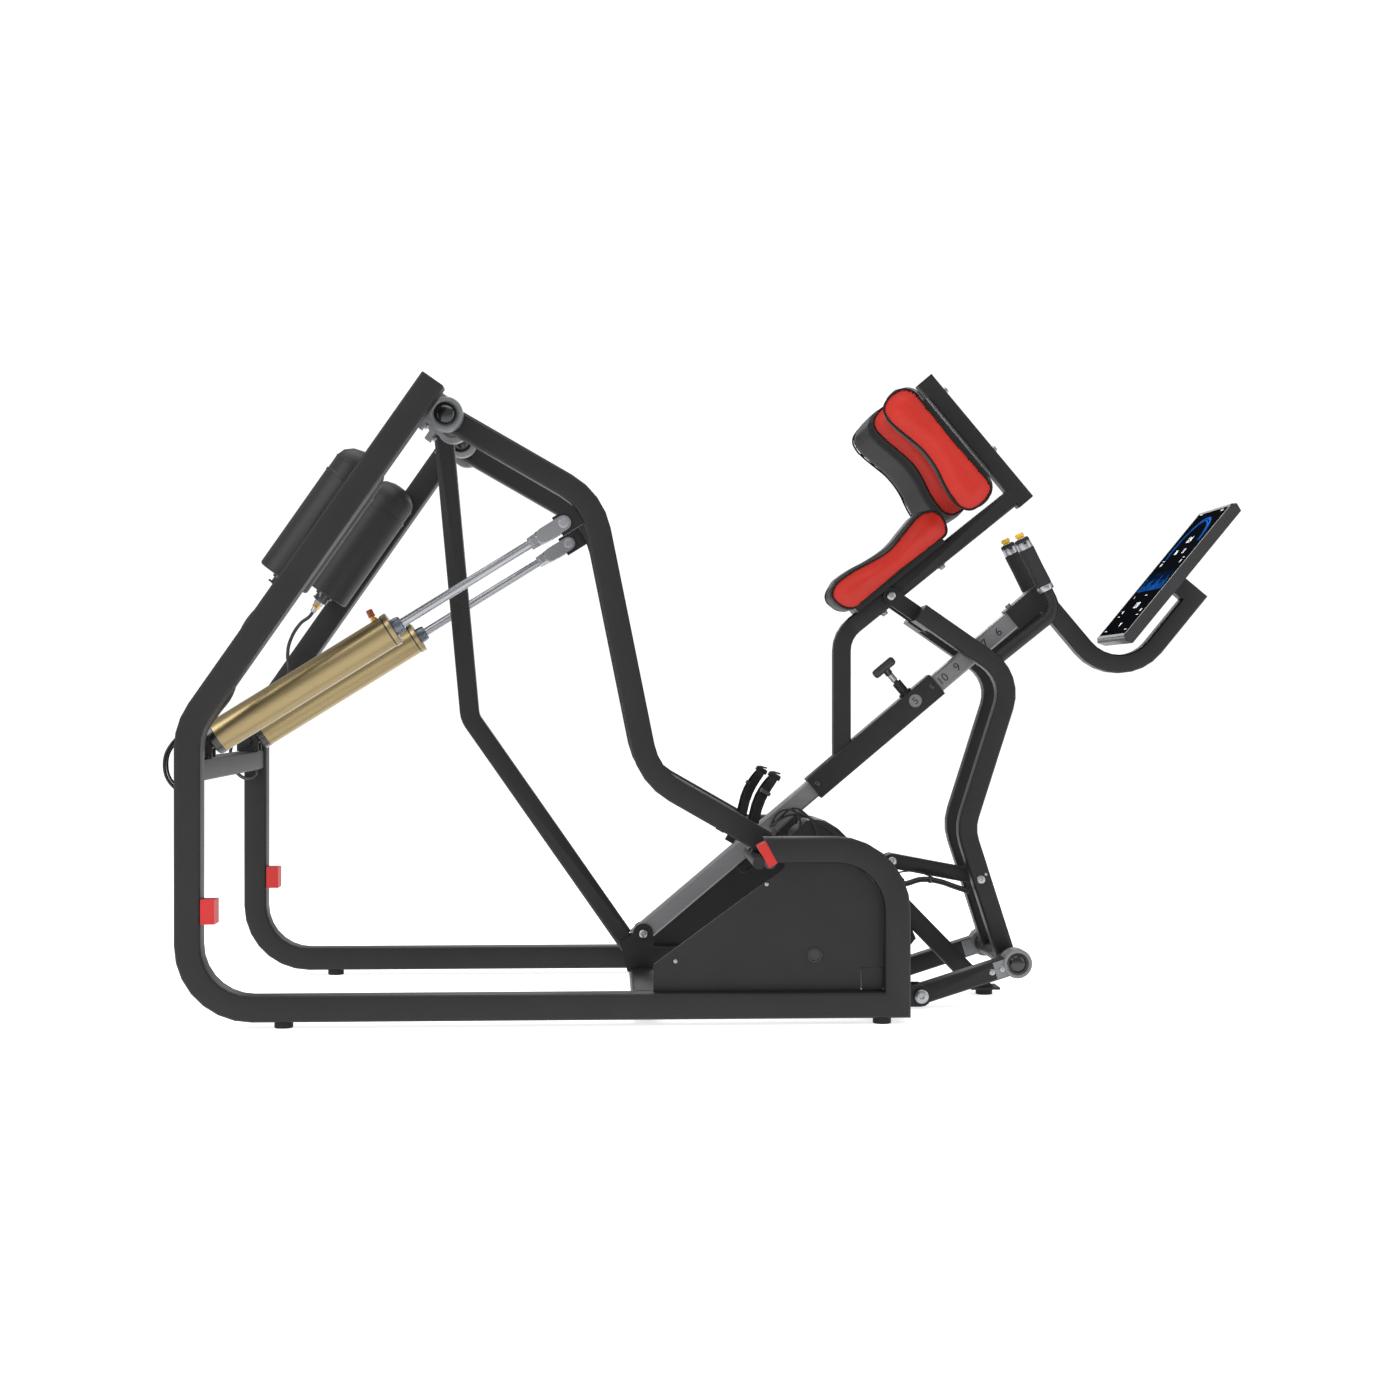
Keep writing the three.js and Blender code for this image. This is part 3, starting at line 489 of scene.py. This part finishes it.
def swollen(obj):
    """Where the cloth simulation takes each point of a mesh when air presses from inside."""
    cloth = obj.modifiers.new("stuffing", "CLOTH")
    cloth.settings.use_pressure = True
    cloth.settings.uniform_pressure_force = 4
    cloth.settings.quality = 4
    cloth.settings.effector_weights.gravity = 0
    cloth.point_cache.frame_end = 20
    for step in range(1, 21):
        bpy.context.scene.frame_set(step)
    made = evaluated_copy(obj)
    obj.modifiers.remove(cloth)
    bpy.context.scene.frame_set(1)
    points = [v.co.copy() for v in made.vertices]
    bpy.data.meshes.remove(made)
    return points


def evened(moves, edges, rounds):
    """Averages each point's move with its neighbours', so that no wrinkle is left."""
    pairs = np.array([edge.vertices[:] for edge in edges])
    ones = np.ones(len(pairs))
    count = np.bincount(pairs[:, 0], ones, len(moves)) + np.bincount(pairs[:, 1], ones, len(moves))
    field = np.array(moves)
    for _ in range(rounds):
        total = np.zeros_like(field)
        np.add.at(total, pairs[:, 0], field[pairs[:, 1]])
        np.add.at(total, pairs[:, 1], field[pairs[:, 0]])
        field = (field + total / count[:, None]) / 2
    return [Vector(move) for move in field]


def padded_piece(name, node, outward):
    """Upholstered pad from a CAD solid: stuffed by simulation between its sewn edges, flat on its board."""
    bm = bmesh.new()
    bm.from_mesh(frame["nodes"][node].data)
    bmesh.ops.remove_doubles(bm, verts=bm.verts, dist=1e-5)
    bm.normal_update()
    seams = sewn_edges(bm)
    middle = sum((v.co for v in bm.verts), Vector()) / len(bm.verts)
    for vert in bm.verts:
        vert.co -= vert.normal * PAD_INSET
    mesh = bpy.data.meshes.new(name)
    bm.to_mesh(mesh)
    bm.free()
    obj = bpy.data.objects.new(name, mesh)
    bpy.context.collection.objects.link(obj)
    remesh = obj.modifiers.new("voxels", "REMESH")
    remesh.mode = "VOXEL"
    remesh.voxel_size = PAD_VOXEL
    obj.data = evaluated_copy(obj)
    obj.modifiers.clear()
    mesh = obj.data

    tree = KDTree(sum(len(line) * 8 for line in seams))
    for line in seams:
        for k, point in enumerate(line):
            for part in range(8):
                tree.insert(point.lerp(line[(k + 1) % len(line)], part / 8), k)
    tree.balance()
    rest = [v.co.copy() for v in mesh.vertices]
    normals = [v.normal.copy() for v in mesh.vertices]
    puffed = swollen(obj)
    moves = evened([b - a for a, b in zip(rest, puffed)], mesh.edges, EVENING_ROUNDS)
    for vert, start, normal, move in zip(mesh.vertices, rest, normals, moves):
        near = tree.find(start)[2]
        ease = min(near / PAD_CROWN_REACH, 1)
        ease = ease * ease * (3 - 2 * ease)
        move = move * min(1, PAD_PUFF_LIMIT / max(move.length, 1e-9))
        if normal.dot(outward) < -0.6:
            vert.co = start + normal * PAD_BACK
        else:
            vert.co = start + ease * (move + normal * PAD_CROWN) - normal * PAD_SEAM_PULL * (1 - ease)
    mesh.materials.clear()
    mesh.materials.append(red_vinyl)
    mesh.materials.append(black_vinyl)
    ends = (min(point.y for point in rest), max(point.y for point in rest))
    for face in mesh.polygons:
        y = sum(rest[k].y for k in face.vertices) / len(face.vertices)
        face.material_index = 0 if min(abs(y - end) for end in ends) < PAD_RED_DEPTH else 1
    mesh.shade_smooth()
    obj.modifiers.new("finer", "SUBSURF").levels = 1
    obj.modifiers["finer"].render_levels = 1
    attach(obj, "carriage")
    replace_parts(obj, node)
    for k, line in enumerate(seams):
        pulled = []
        for point in line:
            inward = middle - point
            inward.y = math.copysign(0.6, middle.y - point.y) * abs(inward.xz.length)
            pulled.append(point + inward.normalized() * PIPING_PULL)
        hose(f"{name}_piping_{k}", pulled, 2.6, "carriage", black_vinyl, closed=True)


padded_piece("chest_cushion", "chest_pad", heading(PAD_BAR_RISE + math.pi / 2))
for side, side_name in SIDES:
    wing_out = -heading(SHOULDER_FALL + math.pi / 2)
    padded_piece(f"shoulder_cushion_{side_name}", f"shoulder_pad_{side_name}", wing_out)

# ---------- bearings ----------
BEARING_FACES = ((401, 1), (133, -1))  # distance across, and which way the face looks
BEARING_FEET = (384.75, 149.5)
collars = Parts("bearing_collars", "frame", cast, "grey_cast_iron")
caps = Parts("bearing_caps", "frame", cap_black, "black_plastic")
bearing_bolts = Parts("bearing_bolts", "frame", zinc, "zinc_plated_steel")
for side, side_name in SIDES:
    for face, way in BEARING_FACES:
        out = ACROSS * side * way
        face_centre = at(ARM_PIVOT, side * face)
        collars.turned(
            face_centre, out,
            [(-2, 30), (-2, 42), (1.5, 42.5), (4.2, 40), (4.6, 36), (3.6, 32.5), (0.5, 31), (-2, 30)],
            sides=48,
        )
        caps.turned(
            face_centre, out,
            [(-3, 0), (-3, 29.4), (0.5, 29.4), (0.8, 26), (-1, 24.5), (0.6, 22.5), (4, 20), (6.6, 14),
             (7.8, 7), (8.2, 0)],
            sides=48,
        )
    for y in BEARING_FEET:
        foot_face = along(TOP_BEAM, COLUMN_LEAN, -52, -41.3, side * y)
        bearing_bolts.bolt(foot_face, heading(COLUMN_LEAN - math.pi / 2), 13, 7)
collars.done()
caps.done(0)
bearing_bolts.done()

# ---------- air cylinders ----------
for side, side_name in SIDES:
    y = side * ARM_Y
    axis = heading(BARREL_RISE)
    barrel_body = f"barrel_{side_name}"
    root = at(BARREL_PIVOT, y)
    ends = Parts(f"barrel_caps_{side_name}", barrel_body, cap_black, "black_plastic")
    ends.turned(root, axis, [(30, 0), (30, 38), (33, 43.2), (49, 43.2), (50, 42.3), (50, 0)], sides=56)
    ends.turned(root, axis, [(546, 43), (546, 43.9), (550, 43.9), (550, 43)], sides=56)
    ends.turned(root, axis, [(561.5, 20), (561.5, 41), (562.5, 41), (562.5, 20)], sides=56)
    ends.done()
    tube_end = Parts(f"barrel_rim_{side_name}", barrel_body, gold, "gold_anodised_tube")
    tube_end.turned(
        root, axis,
        [(545, 42.4), (551, 44), (561, 44), (562.2, 42.5), (562.2, 40), (545, 40)], sides=56,
    )
    tube_end.done(0)
    gland = Parts(f"gland_{side_name}", barrel_body, gland_steel, "zinc_plated_steel")
    gland.turned(
        root, axis,
        [(562, 12.6), (562, 22), (577, 22), (579, 20.5), (584, 20.5), (586, 18), (586, 12.6)], sides=40,
    )
    gland.done()
    port_root = along(BARREL_PIVOT, BARREL_RISE, 530, 40, y)
    lean = heading(BARREL_RISE + math.radians(86))
    port = Parts(f"port_{side_name}", barrel_body, brass, "gold_anodised_tube")
    port.turned(port_root, lean, [(0, 0), (0, 9), (8, 9), (8, 0)], sides=6)
    port.turned(port_root, lean, [(8, 0), (8, 6), (13, 6), (13, 0)])
    port.done()
    muffler = Parts(f"muffler_{side_name}", barrel_body, copper, "gold_anodised_tube")
    muffler.turned(
        port_root, lean,
        [(12, 0), (12, 9.5), (15, 9.5), (16, 8.6), (30, 8.6), (31.5, 7), (31.5, 0)], sides=12,
    )
    muffler.done()

    tip = Parts(f"clevis_pin_{side_name}", f"rod_{side_name}", zinc, "zinc_plated_steel")
    for way in (-1, 1):
        head = at(CLEVIS_PIN, y + way * 19)
        tip.turned(head, ACROSS * way, [(-1, 0), (-1, 13), (2.2, 13), (3, 12), (3, 9.6), (4.6, 9), (4.6, 0)])
    tip.turned(root, axis, [(962, 12.2), (962, 16.5), (973, 16.5), (973, 12.2)], sides=6)
    tip.done()

# ---------- air tanks ----------
tank_trim = Parts("tank_bands", "frame", powder, "black_powder_coat")
fittings = Parts("tank_fittings", "frame", zinc, "zinc_plated_steel")
brass_nuts = Parts("tank_nuts", "frame", brass, "gold_anodised_tube")
bosses = Parts("tank_bosses", "frame", cap_black, "black_plastic")
for side, side_name in SIDES:
    foot = at(TANK_FOOT, side * TANK_Y)
    up = heading(COLUMN_LEAN)
    tank_trim.turned(foot, up, [(283, 68), (284.5, 69.6), (290, 69.6), (291.5, 68)], sides=64)
    tank_trim.turned(foot, up, [(326, 66), (327.5, 67.8), (331, 67.4), (332, 65.5)], sides=64)
    bosses.turned(foot, up, [(-26, 0), (-26, 19), (-23, 21), (-8, 21), (-8, 26), (-1, 26), (-1, 0)], sides=36)
    clip = foot + up * -0.022 + ACROSS * side * 0.012
    bosses.block(clip, heading(COLUMN_LEAN - math.pi / 2), up, (52, 4, 5))
    fittings.turned(foot, up, [(-36, 0), (-36, 14), (-26, 14), (-26, 0)], sides=6)
    brass_nuts.turned(foot, up, [(-47, 0), (-47, 12), (-36, 12), (-36, 0)], sides=6)
    fittings.turned(foot, up, [(-62, 0), (-62, 7.4), (-58, 8.2), (-48, 8.2), (-47, 9), (-47, 0)])
tank_trim.done(0)
fittings.done()
brass_nuts.done()
bosses.done()

# ---------- hoses that the machine holds along their whole route ----------
for side, side_name in SIDES:
    route = [(-828, 369, 1056), (-842, 371, 1036), (-868, 374, 1016), (-900, 384, 964), (-908, 394, 928),
             (-906, 402, 880), (-920, 405, 812), (-955, 405, 762), (-984, 405, 715), (-990, 405, 656)]
    tank_hose = hose(f"tank_line_{side_name}", [at((x, z), side * y) for x, y, z in route], 5, "frame")
    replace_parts(tank_hose, f"tank_hose_{side_name}")
    route = [(-1020, 383, 706), (-1032, 400, 712), (-1056, 424, 696), (-1078, 430, 640), (-1056, 428, 584),
             (-1020, 424, 570), (-1003, 420, 582), (-1000, 418, 596)]
    loop = hose(f"cylinder_line_{side_name}", [at((x, z), side * y) for x, y, z in route], 4, "frame")
    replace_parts(loop, f"loop_hose_{side_name}")
    inner = [at((x * 0.992 - 4, z * 0.96 + 26), side * (y - 12)) for x, y, z in route[1:-1]]
    hose(f"cylinder_line_inner_{side_name}", inner, 3, "frame")
    ends = Parts(f"hose_ends_{side_name}", "frame", brass, "gold_anodised_tube")
    ends.turned(at((-1018, 700), side * 380), heading(2.2), [(-2, 0), (-2, 8), (9, 8), (9, 0)], sides=6)
    ends.done()

bundle = [(748, -44, 326), (776, -46, 307), (800, -48, 304), (850, -50, 316), (895, -52, 311),
          (940, -54, 296), (976, -56, 284)]
for k, (dy, dz) in enumerate(((-4, 3), (4.4, 2.4), (0.4, -4.2))):
    cable = hose(f"bundle_cable_{k}", [at((x, z + dz), y + dy) for x, y, z in bundle], 4.2, "frame")
    if k == 0:
        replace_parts(cable, "cable_bundle")
tie = Parts("bundle_tie", "frame", plastic, "black_plastic")
tie.turned(at((872, 315), -51), heading(-0.15), [(-3, 8.6), (-3, 10), (3, 10), (3, 8.6)])
tie.block(at((872, 326), -51), heading(-0.15), heading(1.42), (6, 5, 5))
tie.done()
strand = [(746, -40, 316), (760, -42, 322), (800, -44, 336), (845, -46, 334), (880, -50, 320)]
hose("bundle_strand", [at((x, z), y) for x, y, z in strand], 2.2, "frame")

# ---------- covers, frame plugs and floor stays ----------
screws = Parts("cover_screws", "frame", zinc, "zinc_plated_steel")
plugs = Parts("frame_plugs", "frame", plastic, "black_plastic")
for side, side_name in SIDES:
    out = ACROSS * side
    for place in ((173, 154), (398, 343)):
        screws.button(at(place, side * 469.6), out, 5, 3)
    plugs.turned(
        at((517, 168), side * 469.6), out,
        [(0, 0), (0, 19), (3, 18.4), (4.2, 16.8), (4.2, 14.8), (1, 13.4), (1, 0)], sides=40,
    )
    top = along((-1009, 729), COLUMN_LEAN, 1032.6, 0, side * 473.25)
    plugs.block(top + heading(COLUMN_LEAN) * 0.001, heading(COLUMN_LEAN - math.pi / 2), heading(COLUMN_LEAN),
                (60, 60, 3))
    plugs.turned(at((404, 397.4), side * 500), out, [(-2, 0), (-2, 14.6), (1.4, 14.6), (2.4, 12), (2.4, 0)])
screws.done(0)
plugs.done()

# ---------- strut scale, sleeve screws and number disc ----------
up_strut, over_strut = heading(STRUT_RISE), heading(STRUT_RISE + math.pi / 2)
for k, (distance, digit) in enumerate(((1057, "10"), (1108, "9"), (1158, "8"), (1207, "7"), (1255, "6"))):
    for side, side_name in SIDES:
        right = up_strut if side < 0 else -up_strut
        marking(f"scale_mark_{k}_{side_name}", digit, along(STRUT_FOOT, STRUT_RISE, distance, 0, side * 25.2),
                right, over_strut, 32, ink, "frame")
DISC = (835, 795)
sleeve_screws = Parts("sleeve_screws", "carriage", cap_black, "black_plastic")
discs = Parts("number_discs", "carriage", badge, "grey_satin_steel")
for side, side_name in SIDES:
    for place in ((569, 571), (881, 834)):
        sleeve_screws.button(at(place, side * 32.8), ACROSS * side, 7, 3)
    discs.turned(
        at(DISC, side * 32.9), ACROSS * side,
        [(0, 0), (0, 17.5), (0.9, 17.5), (1.3, 17), (1.3, 0)], sides=48,
    )
    right = up_strut if side < 0 else -up_strut
    marking(f"disc_number_{side_name}", "5", at(DISC, side * 34.3), right, over_strut, 27, ink, "carriage")
sleeve_screws.done(0)
discs.done(0)

# ---------- bolts on the carriage, strut, links and uprights ----------
carriage_bolts = Parts("carriage_bolts", "carriage", zinc, "zinc_plated_steel")
bar_out = heading(SHOULDER_FALL + math.pi / 2)
for place in ((919, 1634), (1051, 1475)):
    distance = (at(place) - at(SHOULDER_BAR[0])).dot(heading(SHOULDER_FALL)) * 1000
    carriage_bolts.bolt(along(SHOULDER_BAR[0], SHOULDER_FALL, distance, 25), bar_out, 16, 8)
distance = (at((909, 1163)) - at(EAR_PIVOT)).dot(heading(PAD_BAR_RISE)) * 1000
under = -heading(PAD_BAR_RISE + math.pi / 2)
carriage_bolts.bolt(along(EAR_PIVOT, PAD_BAR_RISE, distance, -25), under, 15, 7)
carriage_bolts.bolt(along(EAR_PIVOT, PAD_BAR_RISE, -38, -25), under, 15, 7)
carriage_bolts.done()

upright_bolts = Parts("upright_bolts", "uprights", zinc, "zinc_plated_steel")
frame_bolts = Parts("frame_bolts", "frame", zinc, "zinc_plated_steel")
link_bolts = Parts("link_bolts", "lower_links", zinc, "zinc_plated_steel")
housings = Parts("link_housings", "lower_links", cast, "grey_cast_iron")
hub_caps = Parts("hub_caps", "lower_links", cap_black, "black_plastic")
link_rise = math.atan2(HUB[1] - LINK_PIVOT[1], HUB[0] - LINK_PIVOT[0])
for side, side_name in SIDES:
    out = ACROSS * side
    upright_bolts.button(at(EAR_PIVOT, side * 44), out, 12, 5)
    upright_bolts.button(at((997, 320), side * (UPRIGHT_Y + 25)), out, 11, 4)
    upright_bolts.button(at((1010, 334), side * (UPRIGHT_Y + 25)), out, 4, 2)
    frame_bolts.button(at(STRUT_FOOT, side * 38.8), out, 11, 5)
    frame_bolts.button(at(LINK_PIVOT, side * 271), out, 18, 7)
    frame_bolts.button(at(UPPER_LINK_PIVOT, side * 34), out, 12, 5)
    for distance in (38, 66):
        link_bolts.button(along(HUB, link_rise, -distance - 4, 0, side * (LINK_Y + 25)), out, 8, 3.5)
    hub_face = at(HUB, side * (LINK_Y + 25))
    housings.turned(
        hub_face, out,
        [(-50, 27), (-50, 37.6), (0, 38), (3.4, 36.5), (4.2, 33), (3, 29), (0, 27.5), (-50, 27)], sides=48,
    )
    housings.block(
        along(HUB, link_rise, -44, 0, side * LINK_Y), heading(link_rise), heading(link_rise + math.pi / 2),
        (36, 51, 44),
    )
    hub_caps.turned(
        hub_face, out,
        [(-4, 0), (-4, 26), (0.5, 26), (0.8, 23.5), (-1, 22), (1, 19.5), (4, 16), (5.6, 9), (6, 0)], sides=40,
    )
frame_bolts.bolt(along(STRUT_FOOT, STRUT_RISE, 1325, 31), over_strut, 14, 7)
for parts in (upright_bolts, frame_bolts, link_bolts, housings, hub_caps):
    parts.done(0.4)

bumper = Parts("strut_bumper", "frame", rubber, "black_rubber")
bumper.block(along(STRUT_FOOT, STRUT_RISE, 326, -38), up_strut, over_strut, (40, 36, 26))
bumper.block(along(STRUT_FOOT, STRUT_RISE, 326, -53), up_strut, over_strut, (30, 28, 6))
bumper.done(3)

pull_root = along(STRUT_FOOT, STRUT_RISE, 958)
neck = Parts("pull_pin_neck", "pull_knob", zinc, "zinc_plated_steel")
neck.turned(pull_root, over_strut, [(79, 7), (79, 8.6)] + [
    (80 + 2.5 * k, 9.2 if k % 2 else 8.4) for k in range(9)] + [(102, 7)])
neck.done(0)
hub = Parts("pull_pin_hub", "pull_knob", cap_black, "black_plastic")
hub.turned(pull_root, over_strut, [(101, 7), (101, 10.5), (112, 10.5), (116, 12), (118, 7)])
hub.done(0)

# ---------- grips ----------
for side, side_name in SIDES:
    y = side * UPRIGHT_Y
    fall = heading(GRIP_FALL)
    root = at(GRIP_TOP, y)
    chrome = Parts(f"grip_collars_{side_name}", "uprights", zinc, "zinc_plated_steel")
    chrome.turned(
        root, fall,
        [(-1, 11), (-1, 15), (2, 17.6), (6, 19.6), (28, 20.8), (30, 20.4), (30, 11), (-1, 11)], sides=40,
    )
    chrome.turned(
        root, fall,
        [(139, 17.5), (139, 21), (141, 22), (152, 22), (154, 21), (154, 16.6)], sides=40,
    )
    chrome.done(0)
    key = Parts(f"grip_switch_{side_name}", "uprights", cap_black, "black_plastic")
    for way in (-1, 1):
        key_centre = root + fall * 0.014 + ACROSS * way * 0.0203
        key.block(key_centre, fall, heading(GRIP_FALL + math.pi / 2), (6, 3, 9))
    key.done()
    ribs = Parts(f"grip_ribs_{side_name}", "uprights", grip_foam, "black_rubber")
    ribs.turned(root, fall, [(30, 19), (31, 21.2), (35, 21.6), (80, 21), (132, 21.8), (138, 21.4), (139, 19)],
                sides=40)
    ribs.done(0)
    button = Parts(f"button_cap_{side_name}", f"button_{side_name}", yellow, "yellow_plastic")
    button.turned(
        root, -fall,
        [(-3, 0), (-3, 10.5), (5.5, 10.5), (5.5, 12.6), (13.4, 12.6), (15.6, 11), (16, 0)],
        sides=8, phase=0.39,
    )
    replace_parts(button.done(0.9), f"thumb_button_{side_name}")

# ---------- foot straps ----------
STRAP_STEPS = 56
for side, side_name in SIDES:
    teeth = Parts(f"strap_teeth_{side_name}", f"press_arm_{side_name}", rubber, "black_rubber")
    last = None
    for k in range(STRAP_STEPS + 1):
        angle = math.pi * (0.06 + 0.88 * k / STRAP_STEPS)
        spread = -56 * math.copysign(abs(math.cos(angle)) ** 0.7, math.cos(angle))
        rise = 24.3 + 131 * math.sin(angle) ** 0.7
        lean = -40 - 0.09 * (rise - 24) - 10 * math.sin(math.pi * (rise - 24) / 132)
        here = along(ARM_END, LOWER_ARM, lean, rise, side * PEDAL_Y + spread)
        if last is not None and (here - last).length > 1e-6:
            tangent = (here - last).normalized()
            wide = heading(LOWER_ARM)
            out = wide.cross(tangent).normalized()
            hub = along(ARM_END, LOWER_ARM, lean, 60, side * PEDAL_Y)
            out = out if out.dot(here - hub) > 0 else -out
            teeth.block((here + last) / 2 + out * 0.0012, tangent, out, (2.6, 17, 2.4))
        last = here
    teeth.done(0)
    clasp = Parts(f"strap_clasp_{side_name}", f"press_arm_{side_name}", plastic, "black_plastic")
    rise_axis = heading(LOWER_ARM + math.pi / 2)
    y = side * PEDAL_Y
    clasp.block(along(ARM_END, LOWER_ARM, -52, 163, y), heading(LOWER_ARM), rise_axis, (30, 26, 5))
    clasp.block(along(ARM_END, LOWER_ARM, -52, 168, y), heading(LOWER_ARM + 0.25), rise_axis, (22, 16, 5))
    y = side * (PEDAL_Y + 53)
    clasp.block(along(ARM_END, LOWER_ARM, -56, 110, y), heading(LOWER_ARM), ACROSS, (26, 10, 36))
    clasp.done(1.2)

# ---------- cables over the valve box ----------
VALVE_ROUTES = (
    [(448, 26, 463), (456, 42, 486), (480, 52, 504), (508, 58, 498), (521, 64, 474), (517, 66, 450),
     (508, 60, 430)],
    [(452, 26, 458), (470, 48, 484), (505, 56, 508), (535, 68, 492), (558, 78, 462), (566, 79, 430),
     (566, 76, 400), (562, 66, 376)],
    [(444, 26, 456), (462, 44, 474), (500, 52, 490), (545, 58, 482), (584, 70, 458), (622, 80, 430),
     (640, 84, 404)],
)
for side, side_name in SIDES:
    for k, route in enumerate(VALVE_ROUTES):
        hose(f"valve_cable_{k}_{side_name}", [at((x, z), side * y) for x, y, z in route], 3.2, "frame")

# ---------- display ----------
screen_up = heading(DISPLAY_RISE)
screen_out = heading(DISPLAY_RISE + math.pi / 2)
screen_right = Vector((0, -1, 0))


def on_screen(height, right, proud):
    return along(DISPLAY_FOOT, DISPLAY_RISE, height, proud, -right)


panel = Parts("display_screen", "frame", glass, "black_plastic")
panel.block(on_screen(228.5, 0, 0.4), screen_up, screen_out, (440, 277, 1.2))
panel.done(0.4)
bezel = Parts("display_bezel", "frame", plastic, "black_plastic")
for height, right, tall, wide in (
    (4.5, 0, 9, 292), (452.5, 0, 9, 292), (228.5, -142, 457, 8), (228.5, 142, 457, 8),
):
    bezel.block(on_screen(height, right, 0.6), screen_up, screen_out, (tall, wide, 2))
for height in (60, 150, 320, 410):
    for side in (-1, 1):
        bezel.button(along(DISPLAY_FOOT, DISPLAY_RISE, height, -17, side * 146), ACROSS * side, 4, 1.6)
bezel.done(0.4)


GAUGE_CENTRE = 322  # height above the screen's lower edge


def gauge(name, radius, width, first, last, material):
    """Flat arc on the screen, from one angle to another, in degrees from the right."""
    arc = Parts(name, "frame", material, "black_plastic")
    rings = []
    steps = 40
    for k in range(steps + 1):
        turn = math.radians(first + (last - first) * k / steps)
        rings.append([
            on_screen(GAUGE_CENTRE + reach * math.sin(turn), reach * math.cos(turn), proud)
            for reach, proud in ((radius, 1.0), (radius, 1.5), (radius + width, 1.5), (radius + width, 1.0))
        ])
    arc.rings(rings)
    arc.done(0)


gauge("gauge_track", 92, 6, 214, -34, screen_navy)
gauge("gauge_value", 90, 12, 205, 84, screen_blue)
gauge("gauge_tip", 88, 17, 84, 8, screen_blue)
labels = [("124", 344, 0, 30), ("86", 302, -34, 22), ("32", 302, 36, 22), ("120", 112, 6, 30),
          ("07", 262, -92, 15), ("15", 262, 92, 15), ("48", 92, -90, 14), ("60", 92, 96, 14),
          ("3", 146, -96, 12), ("10:24", 440, 92, 9)]
for k, (text, height, right, size) in enumerate(labels):
    marking(f"screen_number_{k}", text, on_screen(height, right, 1.3), screen_right, screen_up, size,
            screen_white, "frame")
chart = Parts("screen_chart", "frame", screen_navy, "black_plastic")
chart.block(on_screen(200, 0, 1.1), screen_up, screen_out, (60, 240, 0.6))
chart.done(0)
bars = Parts("screen_bars", "frame", screen_blue, "black_plastic")
for k in range(24):
    tall = 14 + 38 * abs(math.sin(k * 1.7) * math.cos(k * 0.45))
    bars.block(on_screen(165 + tall / 2, -115 + 10 * k, 1.5), screen_up, screen_out, (tall, 3, 0.5))
bars.done(0)
dashes = Parts("screen_lines", "frame", screen_white, "black_plastic")
for height, right, width in (
    (276, -96, 26), (276, 94, 24), (148, 20, 30), (76, -92, 28),
    (76, 96, 30), (24, -104, 34), (24, 102, 30), (446, -104, 30),
):
    dashes.block(on_screen(height, right, 1.3), screen_up, screen_out, (1.6, width * 0.7, 0.5))
dashes.turned(on_screen(46, 0, 1.2), screen_out, [(0, 0), (0, 9), (0.4, 9), (0.4, 0)], sides=3)
dashes.done(0)

# ---------- floor ----------
floor_mesh = bpy.data.meshes.new("floor")
floor_mesh.from_pydata([(-30, -30, 0), (30, -30, 0), (30, 30, 0), (-30, 30, 0)], [], [(0, 1, 2, 3)])
floor = bpy.data.objects.new("floor", floor_mesh)
pale_floor = surface("pale_floor", (0.93, 0.93, 0.93, 1), 0.7, shade=0.995, specular=0.1, glow=0.8,
                     patch=2, grain=40, height=0.00001)
floor_mesh.materials.append(pale_floor)
bpy.context.collection.objects.link(floor)
